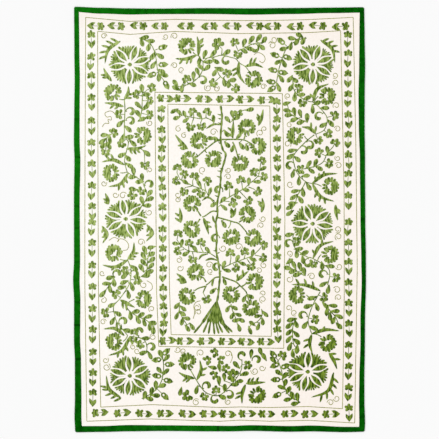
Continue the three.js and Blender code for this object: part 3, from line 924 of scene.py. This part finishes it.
def make_binding(name, material):
    stations = stations_of(name)
    loops = [strip_loop(name, station) for station in stations]
    around = len(loops[0])
    points = [point for loop in loops for point in loop]
    faces = lofted_faces(len(loops), around)
    inside_out = (SIDES[name].end > 0) != runs_along_x(name)
    if inside_out:
        faces = [corners[::-1] for corners in faces]
    piece = mesh_piece(f"binding_strip_{name}", points, faces, material)
    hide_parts(f"binding_{name}")
    # Painted shade: the tucks' heights, kept on the points, darken the cloth in its tucks
    tucks = tucks_at(name, np.array([station.at for station in stations]))
    painted_shade = piece.data.attributes.new("painted_tuck_shade", "FLOAT", "POINT")
    painted_shade.data.foreach_set("value", np.repeat(tucks, around))
    return piece


# Needlework: strokes of thread

Stroke = namedtuple("Stroke", "spine widths")


def unit(heading):
    turn = math.radians(heading)
    return np.array([math.cos(turn), math.sin(turn)])


def heading_of(vector):
    return math.degrees(math.atan2(vector[1], vector[0]))


def polar(middle, angles, radius):
    """Points round a middle, at angles."""
    turns = np.radians(angles)
    return middle + np.stack([np.cos(turns), np.sin(turns)], 1) * np.reshape(radius, (-1, 1))


def smooth_path(points, step):
    """A smooth curve through the points, sampled about every `step`."""
    corners = np.asarray(points, float)
    first = 2 * corners[0] - corners[1]
    last = 2 * corners[-1] - corners[-2]
    corners = np.concatenate([[first], corners, [last]])
    path = [corners[1]]
    for a, b, c, d in zip(corners, corners[1:], corners[2:], corners[3:]):
        count = max(1, round(float(np.linalg.norm(c - b)) / step))
        for t in np.arange(1, count + 1) / count:
            bend = (2 * a - 5 * b + 4 * c - d) * t * t + (3 * b - a - 3 * c + d) * t ** 3
            path.append(b + ((c - a) * t + bend) / 2)
    return np.array(path)


def sway(random, most):
    return random.uniform(-most, most)


def blade(start, heading, length, width, form, bend=0):
    """A filled stroke that bends by `bend` on its way, sampled more closely near its tip."""
    t = 1 - (1 - np.linspace(0, 1, form.steps + 1)) ** TIP_CROWDING
    moves = polar(0, heading + bend * t[:-1], np.diff(t) * length)
    spine = np.concatenate([[start], start + np.cumsum(moves, 0)])
    swelling = np.sin(np.pi / 2 * np.clip(t / form.peak, 0, 1)) ** SWELL_POWER
    rise = form.neck + (1 - form.neck) * swelling
    fall = np.cos(np.pi / 2 * np.clip((t - form.peak) / (1 - form.peak), 0, 1)) ** form.blunt
    widths = width * np.where(t < form.peak, rise, fall)
    return Stroke(spine, np.maximum(widths, TIP_WIDTH))


def line(points, end_widths):
    spine = smooth_path(points, LINE_STEP)
    return Stroke(spine, np.linspace(*end_widths, len(spine)))


def blossom(place, size, heading, random, spread, eye=0):
    """Five lobes in a fan that opens towards `heading`, round an eye that is open at its back."""
    middle = np.array(place) + unit(heading) * (LOBE_SHIFT - eye / 2)
    for side in LOBE_SIDES:
        angle = heading + spread * side + sway(random, LOBE_SWAY)
        length = size * random.uniform(*LOBE_LENGTHS) - eye
        yield blade(middle + unit(angle) * eye, angle, length, size * LOBE_WIDTH, LOBE_FORM)


def carnation(x, y, opening, random):
    """Round lobes about a forked slot, with four fingers on the side of the stem."""
    middle = np.array([x, y], float)
    back = opening + 180
    for side in np.linspace(-1, 1, CARNATION_LOBES):
        angle = back + CARNATION_SPREAD * side + sway(random, CARNATION_SWAY)
        in_slot = SLOT_SIDES[0] < abs(side) < SLOT_SIDES[1]
        start = SLOT_START if in_slot else CARNATION_START
        length = CARNATION_RADIUS * random.uniform(*CARNATION_REACHES) - start
        yield blade(middle + unit(angle) * start, angle, length, CARNATION_WIDTH, CARNATION_FORM)
    angles = back + np.linspace(-RING_SPREAD, RING_SPREAD, RING_POINTS)
    yield Stroke(polar(middle, angles, RING_RADIUS), np.full(RING_POINTS, RING_WIDTH))
    for turn in FORK_TURNS:
        angle = back + turn + sway(random, FORK_SWAY)
        yield blade(middle + unit(angle) * FORK_START, angle, FORK_LENGTH, FORK_WIDTH, FORK_FORM)
    for turn in FINGER_TURNS:
        angle = opening + turn + sway(random, FINGER_SWAY)
        start = middle + unit(angle) * random.uniform(*FINGER_STARTS)
        length = CARNATION_RADIUS * random.uniform(*FINGER_REACHES) - FINGER_SETBACK
        yield blade(start, angle, length, FINGER_WIDTH, FINGER_FORM)


def rosette_tooth(middle, low, high, side, teeth, random):
    """A tooth between two petals; it narrows where they swell. `side` runs from -1 to 1."""
    top = TOOTH_TOP + TOOTH_TOP_RISE * abs(side) ** 3 + random.uniform(*TOOTH_TOP_CHANGES)
    tip_depths, tip_shares = np.array(TOOTH_TIP).T
    shaft = np.linspace(TOOTH_START, top - TOOTH_TIP_DEPTH, TOOTH_STEPS)
    radius = np.concatenate([shaft, top - tip_depths])
    swelling = np.sin(np.pi * np.clip((radius - GAP_START) / GAP_LENGTH, 0, 1)) ** GAP_ROUND
    clear = np.degrees((GAP_WIDTH * swelling + GAP_MARGIN) / radius)
    half = np.maximum((high - low) / 2 - clear, GAP_LEAST)
    pitch = 2 * half / teeth
    widths = np.radians(pitch) * radius * TOOTH_OVERLAP
    widths[-len(TOOTH_TIP):] *= tip_shares
    spine = polar(middle, (low + high) / 2 + side * (half - pitch / 2), radius)
    return Stroke(spine, np.maximum(widths, TIP_WIDTH))


def rosette(x, y, petals, random):
    """A disc of radiating teeth that part round pointed petals."""
    middle = np.array([x, y], float)
    strokes = [blade(middle - (HUB_LENGTH / 2, 0), 0, HUB_LENGTH, HUB_WIDTH, HUB_FORM)]
    order = sorted(petal % 360 for petal in petals)
    for angle in order:
        start, bend = middle + unit(angle) * PETAL_START, sway(random, PETAL_BEND)
        strokes.append(blade(start, angle, PETAL_LENGTH, PETAL_WIDTH, PETAL_FORM, bend))
    for low, high in zip(order, order[1:] + [order[0] + 360]):
        teeth = max(FEWEST_TEETH, round((high - low) / TOOTH_PITCH))
        for side in np.linspace(-1, 1, teeth):
            strokes.append(rosette_tooth(middle, low, high, side, teeth, random))
    for spine, widths in strokes:
        yield Stroke(middle + (spine - middle) * ROSETTE_STRETCH, widths)


def feather(row, random):
    """A long curved leaf, thick in its lower half, with finger-like teeth on one side."""
    base, tip = np.array(row.base, float), np.array(row.tip, float)
    ahead = tip - base
    length = float(np.linalg.norm(ahead))
    left = np.array([-ahead[1], ahead[0]]) / length
    spine = smooth_path([base, base + ahead / 2 + left * row.bow, tip], length / FEATHER_STEPS)
    t = np.linspace(0, 1, len(spine))
    widths = FEATHER_WIDTH + FEATHER_SWELL * np.sin(np.pi * t ** FEATHER_SKEW) ** SWELL_POWER
    widths[-1] = TIP_WIDTH
    yield Stroke(spine, widths)
    turn, bend = row.teeth * FEATHER_TOOTH_TURN, row.teeth * FEATHER_TOOTH_BEND
    for share in np.linspace(row.first, row.last, row.count):
        at = round(share * (len(spine) - 1))
        run = heading_of(spine[at + 1] - spine[max(at - 1, 0)])
        reach = row.reach * random.uniform(*FEATHER_REACHES)
        yield blade(spine[at], run + turn, reach, FEATHER_TOOTH_WIDTH, FEATHER_TOOTH_FORM, bend)


def hook(x, y, heading):
    """A scroll leaf: it rises thin from its stem and curls in to a round, thick end."""
    hand = -1 if math.cos(math.radians(heading)) > 0 else 1
    t = 1 - (1 - np.linspace(0, 1, HOOK_POINTS)) ** HOOK_CROWDING
    radii = HOOK_RADII[0] + HOOK_RADII[1] * t
    spine = polar(np.array([x, y]), heading + 180 + hand * HOOK_TURN * t, radii)
    widths = HOOK_WIDTHS[0] + HOOK_WIDTHS[1] * smoothstep(t, *HOOK_SWELL)
    round_end = np.sqrt(np.clip((1 - t) / HOOK_TIP, 0, 1))
    yield Stroke(spine, np.maximum(widths * round_end, TIP_WIDTH))


def eyed_leaf(x, y, heading):
    """A pear-shaped leaf with an eye near its stem and a point at its far side."""
    ahead, side = unit(heading), unit(heading + 90)
    eye = np.array([x, y]) - ahead * EYE_SETBACK
    turns = np.linspace(0, 2 * np.pi, EYE_POINTS)
    forward, sideways = EYE_RADII[0] * np.cos(turns), EYE_RADII[1] * np.sin(turns)
    spine = eye + np.outer(forward, ahead) + np.outer(sideways, side)
    yield Stroke(spine, EYE_WIDTHS[0] + EYE_WIDTHS[1] * np.cos(turns))
    yield blade(eye + ahead * BODY_START, heading, BODY_LENGTH, BODY_WIDTH, BODY_FORM)


def curl(x, y, heading, random):
    hand, size = random.choice((-1, 1)), random.uniform(*CURL_SIZES)
    t = np.linspace(0, 1, CURL_POINTS)
    turns = hand * random.uniform(*CURL_TURNS) * t
    radii = size * (CURL_RADII[0] + CURL_RADII[1] * t ** CURL_EASE)
    return polar(np.array([x, y]), heading + 180 + turns, radii)


def stitches_along(path, pitch, filled, width, taper):
    """Short strokes, one after the other, each over its share of the pitch."""
    path = np.asarray(path, float)
    steps = np.linalg.norm(np.diff(path, axis=0), axis=1)
    along = np.concatenate([[0], np.cumsum(steps)])
    starts = np.linspace(0, along[-1], round(along[-1] / pitch) + 1)
    for start, end in zip(starts, starts[1:]):
        places = start + np.array(STITCH_PLACES) * (end - start) * filled
        spine = np.stack([np.interp(places, along, path[:, k]) for k in (0, 1)], 1)
        yield Stroke(spine, width * np.array(taper))


def chain(path):
    """Links of chain stitch along a path."""
    return stitches_along(path, LINK_PITCH, 1, LINK_WIDTH, LINK_TAPER)


# Needlework: what grows where. A motif faces away from the nearest stem, branch or trunk.

Growth = namedtuple("Growth", "near heading gap ahead")
PATHS = [smooth_path(points, PATH_STEP) for points in [TRUNK] + BRANCHES + STEMS]
GROWTH = np.concatenate(PATHS)
GROWTH_AHEAD = np.concatenate([np.gradient(path, axis=0) for path in PATHS])


def growth_beside(x, y):
    """Nearest point of growth, heading and gap from there, and which way it grows."""
    nearest = np.argmin(np.hypot(GROWTH[:, 0] - x, GROWTH[:, 1] - y))
    away = np.array([x, y]) - GROWTH[nearest]
    ahead = heading_of(GROWTH_AHEAD[nearest])
    return Growth(GROWTH[nearest], heading_of(away), float(np.hypot(*away)), ahead)


def leaning(growth):
    """Heading of a leaf: away from its stem, and leaning towards the stem's end."""
    turn = (growth.ahead - growth.heading + 180) % 360 - 180
    return growth.heading + max(-LEAF_LEAN, min(LEAF_LEAN, turn))


def stalk(x, y, back, reach):
    """A short stalk from the nearest growth to a motif's back, if that is within reach."""
    growth = growth_beside(x, y)
    if back < growth.gap < reach:
        yield line([growth.near, np.array([x, y]) - unit(growth.heading) * back], STALK_WIDTHS)


def sew_tree(random):
    for points in BRANCHES:
        yield line(points, BRANCH_WIDTHS)
    trunk = smooth_path(TRUNK, TRUNK_STEP)
    yield Stroke(trunk, TRUNK_WIDTH + TRUNK_SWELL * np.sin(np.arange(len(trunk)) * TRUNK_WAVE))
    for x, y, heading in THORNS:
        length = random.uniform(*THORN_LENGTHS)
        yield blade(np.array([x, y]), heading, length, THORN_WIDTH, THORN_FORM, THORN_BEND)
    for points in SICKLES:
        spine = smooth_path(points, LINE_STEP)
        t = np.linspace(0, 1, len(spine))
        yield Stroke(spine, np.interp(t, SICKLE_PLACES, SICKLE_WIDTHS))


def sew_roots(random):
    """Strokes that lie side by side down a cone, and part below it."""
    for x, y in ROOT_TIPS:
        top, middle = [
            np.array([place[0] + (x - ROOT_FOOT) * fan, place[1]])
            for place, fan in zip((ROOT_TOP, ROOT_MIDDLE), ROOT_FANS)
        ]
        spine = smooth_path([top, (top + middle) / 2, middle, (x, y)], ROOT_STEP)
        t = np.linspace(0, 1, len(spine))
        yield Stroke(spine, np.interp(t, ROOT_PLACES, ROOT_WIDTHS))


def sew_stems(random):
    for points in STEMS:
        yield line(points, STEM_WIDTHS)


def sew_blossoms(random):
    for x, y, size in BLOSSOMS:
        heading = growth_beside(x, y).heading
        yield from blossom((x, y), size, heading, random, BLOSSOM_SPREAD, BLOSSOM_EYE)
        yield from stalk(x, y, 0, BLOSSOM_STALK)


def sew_leaves(random):
    for x, y in LEAVES:
        growth = growth_beside(x, y)
        heading = leaning(growth)
        inside = abs(x) < PANEL_HALF_WIDTH and abs(y) < PANEL_HALF_LENGTH
        scale = 1 if inside else OUTER_LEAF_SCALE
        length = random.uniform(*LEAF_LENGTHS) * scale
        width = random.uniform(*LEAF_WIDTHS) * scale
        start = np.array([x, y]) - unit(heading) * length / 2
        bend = sway(random, LEAF_BEND)
        form = LEAF_FORM._replace(blunt=random.uniform(*LEAF_FORM.blunt))
        yield blade(start, heading - bend / 2, length, width, form, bend)
        if LEAF_STALKS[0] < math.dist(growth.near, start) < LEAF_STALKS[1]:
            yield line([growth.near, start + unit(heading) * LEAF_OVERLAP], LEAF_STALK_WIDTHS)


def sew_scrolls(random):
    for places, motif in ((EYED_LEAVES, eyed_leaf), (HOOKS, hook)):
        for x, y in places:
            yield from motif(x, y, growth_beside(x, y).heading)
            yield from stalk(x, y, *SCROLL_STALKS)
    for row in FEATHERS:
        yield from feather(Feather(*row), random)


def sew_carnations(random):
    for x, y, opening in CARNATIONS:
        yield from carnation(x, y, opening, random)
        door = np.array([x, y]) + unit(opening) * CARNATION_DOOR
        growth = growth_beside(*door)
        if growth.gap < CARNATION_STALK:
            bow = unit(growth.heading + 90) * growth.gap * CARNATION_STALK_BOW
            middle = (growth.near + door) / 2 + bow
            yield line([growth.near, middle, door], CARNATION_STALK_WIDTHS)


def sew_rosettes(random):
    for row in ROSETTES:
        yield from rosette(*row, random)


def sprig_flowers(row):
    """Places of the flowers of a row, on the line from its start to its end."""
    start, end = np.array(row.start, float), np.array(row.end, float)
    axis = 0 if row.heading in (0, 180) else 1
    for place in row.places:
        yield start + (end - start) * (place - start[axis]) / (end[axis] - start[axis])


def sprig(flower, heading, random):
    """A flower, the stem behind it, and two leaves that reach back from the stem's foot."""
    ahead = heading + sway(random, SPRIG_SWAY)
    yield from blossom(flower, SPRIG_FLOWER, ahead + 180, random, SPRIG_SPREAD)
    foot = flower + unit(ahead) * random.uniform(*SPRIG_STEMS)
    yield line([flower, foot], SPRIG_STEM_WIDTHS)
    for turn in SPRIG_TURNS:
        length, width = random.uniform(*SPRIG_LEAF_LENGTHS), random.uniform(*SPRIG_LEAF_WIDTHS)
        bend = turn * SPRIG_LEAF_CURVE
        yield blade(foot, ahead + 180 + turn, length, width, SPRIG_LEAF_FORM, bend)


def sew_sprigs(random):
    for row in SPRIG_ROWS:
        for flower in sprig_flowers(row):
            yield from sprig(flower, row.heading, random)


def sew_frames(random):
    for points in FRAME_LINES:
        yield from chain(points + points[:1])


def sew_curls(random):
    for x, y in CURLS:
        yield from chain(curl(x, y, growth_beside(x, y).heading, random))
    for points in TENDRILS:
        yield from chain(smooth_path(points, PATH_STEP))


# Needlework: rounded, raised strokes, each a closed form

FULL_SECTION = ((-0.53, 0), (-0.45, 0.7), (0, 1), (0.45, 0.7), (0.53, 0))
FINE_SECTION = ((-0.55, 0), (0, 1), (0.55, 0))


def sewn_piece(name, strokes, material, surface, section, height):
    """Strokes on a surface; the section gives places across and shares of the height."""
    across, shares = np.array(section).T
    around = len(section)
    points, rises, faces = [], [], []
    first = 0
    for spine, widths in strokes:
        run = np.gradient(spine, axis=0)
        side = np.stack([-run[:, 1], run[:, 0]], 1)
        side /= np.linalg.norm(side, axis=1)[:, None]
        shift = side[:, None] * (widths[:, None] * across)[..., None]
        points.append((spine[:, None] + shift).reshape(-1, 2))
        tall = height * np.minimum(1, widths / WIDTH_OF_FULL_HEIGHT)
        rises.append((tall[:, None] * shares - RIM_SINK * (shares == 0)).ravel())
        index = first + np.arange(len(spine) * around).reshape(-1, around)
        after = np.roll(index, -1, axis=1)
        quads = np.stack([index[:-1], index[1:], after[1:], after[:-1]], 2)
        faces += quads.reshape(-1, 4).tolist()
        faces += [index[0].tolist(), index[-1, ::-1].tolist()]
        first += index.size
    x, y = np.concatenate(points).T
    z = surface(x, y) + np.concatenate(rises)
    return mesh_piece(name, np.stack([x, y, z], 1), faces, material)


# What each piece of needlework is sewn by, and with which thread. Each function gets random
# numbers of its own, seeded by its place in this table; some need none.
NEEDLEWORK = {
    "tree": (sew_tree, "dark"),
    "roots": (sew_roots, "dark"),
    "stems": (sew_stems, "thread"),
    "blossoms": (sew_blossoms, "thread"),
    "leaves": (sew_leaves, "thread"),
    "scrolls": (sew_scrolls, "thread"),
    "carnations": (sew_carnations, "thread"),
    "rosettes": (sew_rosettes, "thread"),
    "sprigs": (sew_sprigs, "thread"),
    "frames": (sew_frames, "pale"),
    "curls": (sew_curls, "pale"),
}


def make_needlework(threads):
    pieces = []
    for seed, (name, (sew, thread)) in enumerate(NEEDLEWORK.items()):
        strokes = sew(np.random.default_rng(seed))
        fine = thread == "pale"
        section = FINE_SECTION if fine else FULL_SECTION
        height = LINK_HEIGHT if fine else STITCH_HEIGHT
        pieces.append(sewn_piece(f"needlework_{name}", strokes, threads[thread],
                                 face, section, height))
    return pieces


# Sewing that holds the binding down, along its inner edge

def sewing_path(name):
    """Middle line of a strip's sewing, from mitre to mitre."""
    places = [station.at for station in stations_of(name) if station.share == 0]
    at = np.linspace(places[0], places[-1], SEWING_SAMPLES)
    out = at_edge(name, "out", at) - at_edge(name, "width", at) + SEWING_INSET
    return np.stack(place_on(name, at, out), 1)


def make_sewing(name, material):
    path = sewing_path(name)
    stitches = stitches_along(path, SEWING_PITCH, SEWING_FILLED, SEWING_WIDTH, SEWING_TAPER)

    def upper_face(x, y):
        at = x if runs_along_x(name) else y
        height = FOLD_HEIGHT - UPPER_DROPS[-1]
        return height + tucks_at(name, at) + ripple(at, UPPER_SHARES[-1])

    return sewn_piece(f"sewing_{name}", stitches, material, upper_face, FINE_SECTION,
                      SEWING_HEIGHT)


# Materials

def linear(red, green, blue):
    """A linear colour from sRGB values, 0 to 255, by the formula of sRGB."""
    shares = [value / 255 for value in (red, green, blue)]
    return (*[share / 12.92 if share < 0.04045 else ((share + 0.055) / 1.055) ** 2.4
              for share in shares], 1)


def add_node(tree, kind, inputs, output=0, **settings):
    """A node, its settings, and its inputs: fixed values or other nodes' outputs."""
    node = tree.nodes.new(kind)
    for name, value in settings.items():
        setattr(node, name, value)
    for name, value in inputs.items():
        if isinstance(value, bpy.types.NodeSocket):
            tree.links.new(value, node.inputs[name])
        else:
            node.inputs[name].default_value = value
    return node.outputs[output]


def new_material(name, roughness, specular, sheen=0):
    material = bpy.data.materials.new(name)
    material.use_nodes = True
    tree = material.node_tree
    surface = tree.nodes["Principled BSDF"]
    surface.inputs["Roughness"].default_value = roughness
    surface.inputs["Specular IOR Level"].default_value = specular
    surface.inputs["Sheen Weight"].default_value = sheen
    place = add_node(tree, "ShaderNodeTexCoord", {}, "Object")
    return material, tree, surface, place


def noise(tree, place, size, low=0.0, high=1.0, detail=2):
    """Noise of a real size in millimetres along x, y and z, stretched to fill 0 to 1."""
    scale = [1 / (length * MM) for length in size]
    scaled = add_node(tree, "ShaderNodeMapping", {"Vector": place, "Scale": scale})
    value = add_node(tree, "ShaderNodeTexNoise", {"Vector": scaled, "Scale": 1, "Detail": detail})
    return add_node(tree, "ShaderNodeMapRange", {"Value": value, "From Min": low, "From Max": high})


def mix(tree, share, first, second):
    """Two colours mixed, through the sockets that the mix node has for colours."""
    inputs = {0: share, 6: first, 7: second}
    return add_node(tree, "ShaderNodeMix", inputs, 2, data_type="RGBA")


def add_up(tree, first, second):
    """The sum of two values, kept from 0 to 1."""
    inputs = {0: first, 1: second}
    return add_node(tree, "ShaderNodeMath", inputs, operation="ADD", use_clamp=True)


def shading(tree, place, slopes):
    """The sum of some slopes across the blanket, each of them and their sum from 0 to 1."""
    total = 0.0
    for start, per_x, per_y in slopes:
        inputs = {0: place, 1: (per_x, per_y, 0)}
        rise = add_node(tree, "ShaderNodeVectorMath", inputs, "Value", operation="DOT_PRODUCT")
        total = add_up(tree, add_up(tree, rise, start), total)
    return total


def bump(tree, surface, height, strength, distance):
    inputs = {"Height": height, "Strength": strength, "Distance": distance * MM}
    normal = add_node(tree, "ShaderNodeBump", inputs)
    tree.links.new(normal, surface.inputs["Normal"])


def weave(tree, place, pitch):
    """Plain weave: warp and weft threads that pass over each other in turn."""
    scale = math.tau / WAVE_TEXTURE_RATE / (pitch * MM)
    inputs = {"Vector": place, "Scale": scale, "Distortion": 0.4}
    warp, weft = [
        add_node(tree, "ShaderNodeTexWave", inputs, "Fac", bands_direction=direction)
        for direction in ("X", "Y")
    ]
    return add_node(tree, "ShaderNodeMath", {0: warp, 1: weft}, operation="MULTIPLY")


def ivory_cotton():
    material, tree, surface, place = new_material("ivory_cotton", roughness=1, specular=0.05)
    # Painted light: the cloth lit near white towards the left and the middle, its own cream in painted
    # shade towards the right and the ends
    painted_light_falloff = shading(tree, place, COTTON_SLOPES)
    cloth = mix(tree, painted_light_falloff, linear(*COTTON_PAINTED_LIT), linear(*COTTON_PAINTED_DIM))
    mottled = noise(tree, place, COTTON_MOTTLE, low=0.3, high=0.7, detail=3)
    shaded = mix(tree, mottled, cloth, linear(*COTTON_SHADE))
    tree.links.new(mix(tree, COTTON_MOTTLING, cloth, shaded), surface.inputs["Base Color"])
    bump(tree, surface, weave(tree, place, COTTON_WEAVE), strength=0.25, distance=0.25)
    return material


def green_cloth():
    """Cloth of the binding, lit brighter on the left by painted light, and with painted shade in the
    tucks that its pieces carry as an attribute.
    """
    material, tree, surface, place = new_material("green_cloth", roughness=1, specular=0.01)
    # Partly painted light, partly uneven dye: lighter on the left, in painted shade towards the right
    side = shading(tree, place, CLOTH_SLOPES)
    cloth = mix(tree, side, linear(*CLOTH_LIGHT_AND_LIT), linear(*CLOTH_DARK_AND_SHADED))
    worn = noise(tree, place, CLOTH_WEAR, low=0.3, high=0.7, detail=4)
    uneven = mix(tree, worn, linear(*CLOTH_DEEP), linear(*CLOTH_WORN))
    # Painted shade, darker where the upper layer is tucked
    tuck = add_node(tree, "ShaderNodeAttribute", {}, "Fac", attribute_name="painted_tuck_shade")
    strip = mix(tree, tuck, mix(tree, CLOTH_WEARING, cloth, uneven), linear(*CLOTH_PAINTED_TUCK_SHADE))
    tree.links.new(strip, surface.inputs["Base Color"])
    bump(tree, surface, weave(tree, place, CLOTH_WEAVE), strength=0.3, distance=0.25)
    return material


def green_thread(name, light_pair, dark_pair):
    """Thread laid lengthwise, lighter and darker from strand to strand."""
    material, tree, surface, place = new_material(name, roughness=0.85, specular=0.1, sheen=0.03)
    # Partly painted light, partly dye: each pair lighter on the left, in painted shade towards the right
    side = shading(tree, place, THREAD_SLOPES)
    light, dark = [
        mix(tree, side, *[linear(*colour) for colour in pair])
        for pair in (light_pair, dark_pair)
    ]
    streaks = noise(tree, place, THREAD_STREAKS, low=0.41, high=0.59, detail=3)
    tree.links.new(mix(tree, streaks, light, dark), surface.inputs["Base Color"])
    bump(tree, surface, noise(tree, place, THREAD_STRANDS), strength=0.5, distance=0.4)
    return material


# Stage

def make_stage():
    reach = FLOOR_REACH * MM
    corners = [(-reach, -reach, 0), (reach, -reach, 0), (reach, reach, 0), (-reach, reach, 0)]
    mesh = bpy.data.meshes.new("floor")
    mesh.from_pydata(corners, [], [(0, 1, 2, 3)])
    floor = bpy.data.objects.new("floor", mesh)
    bpy.context.scene.collection.objects.link(floor)
    material, _, surface, _ = new_material("pale_floor", roughness=1, specular=0)
    surface.inputs["Base Color"].default_value = FLOOR_COLOUR
    mesh.materials.append(material)


def make_light():
    world = bpy.data.worlds.new("soft_studio")
    world.use_nodes = True
    sky = world.node_tree.nodes["Background"]
    sky.inputs["Strength"].default_value = SKY_STRENGTH
    sky.inputs["Color"].default_value = SKY_COLOUR
    bpy.context.scene.world = world
    sun = bpy.data.lights.new("window", "SUN")
    sun.energy = SUN_STRENGTH
    sun.angle = math.radians(SUN_SPREAD)
    lamp = bpy.data.objects.new("window", sun)
    lamp.rotation_euler = (0, math.radians(SUN_TILT), math.radians(SUN_TURN))
    bpy.context.scene.collection.objects.link(lamp)


def make_camera():
    """A camera straight above the blanket, from far off."""
    camera = bpy.data.cameras.new("camera")
    camera.sensor_width = SENSOR
    camera.lens = SENSOR * CAMERA_HEIGHT / IMAGE_WIDTH
    eye = bpy.data.objects.new("camera", camera)
    eye.location = (0, 0, CAMERA_HEIGHT * MM)
    bpy.context.scene.collection.objects.link(eye)
    bpy.context.scene.camera = eye
    bpy.context.scene.view_settings.view_transform = "Standard"


make_stage()
make_light()
make_camera()
cloth = green_cloth()
threads = {
    "thread": green_thread("green_thread", THREAD_LIGHT, THREAD_DARK),
    "dark": green_thread("dark_green_thread", TREE_LIGHT, TREE_DARK),
    "pale": green_thread("pale_green_thread", PALE_LIGHT, PALE_DARK),
}
needlework = make_needlework(threads)
ground = make_ground(ivory_cotton())
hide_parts("ground_cloth")
for name, cut in STRIP_CUTS.items():
    strip = make_binding(name, cloth)
    sewing = make_sewing(name, cloth)
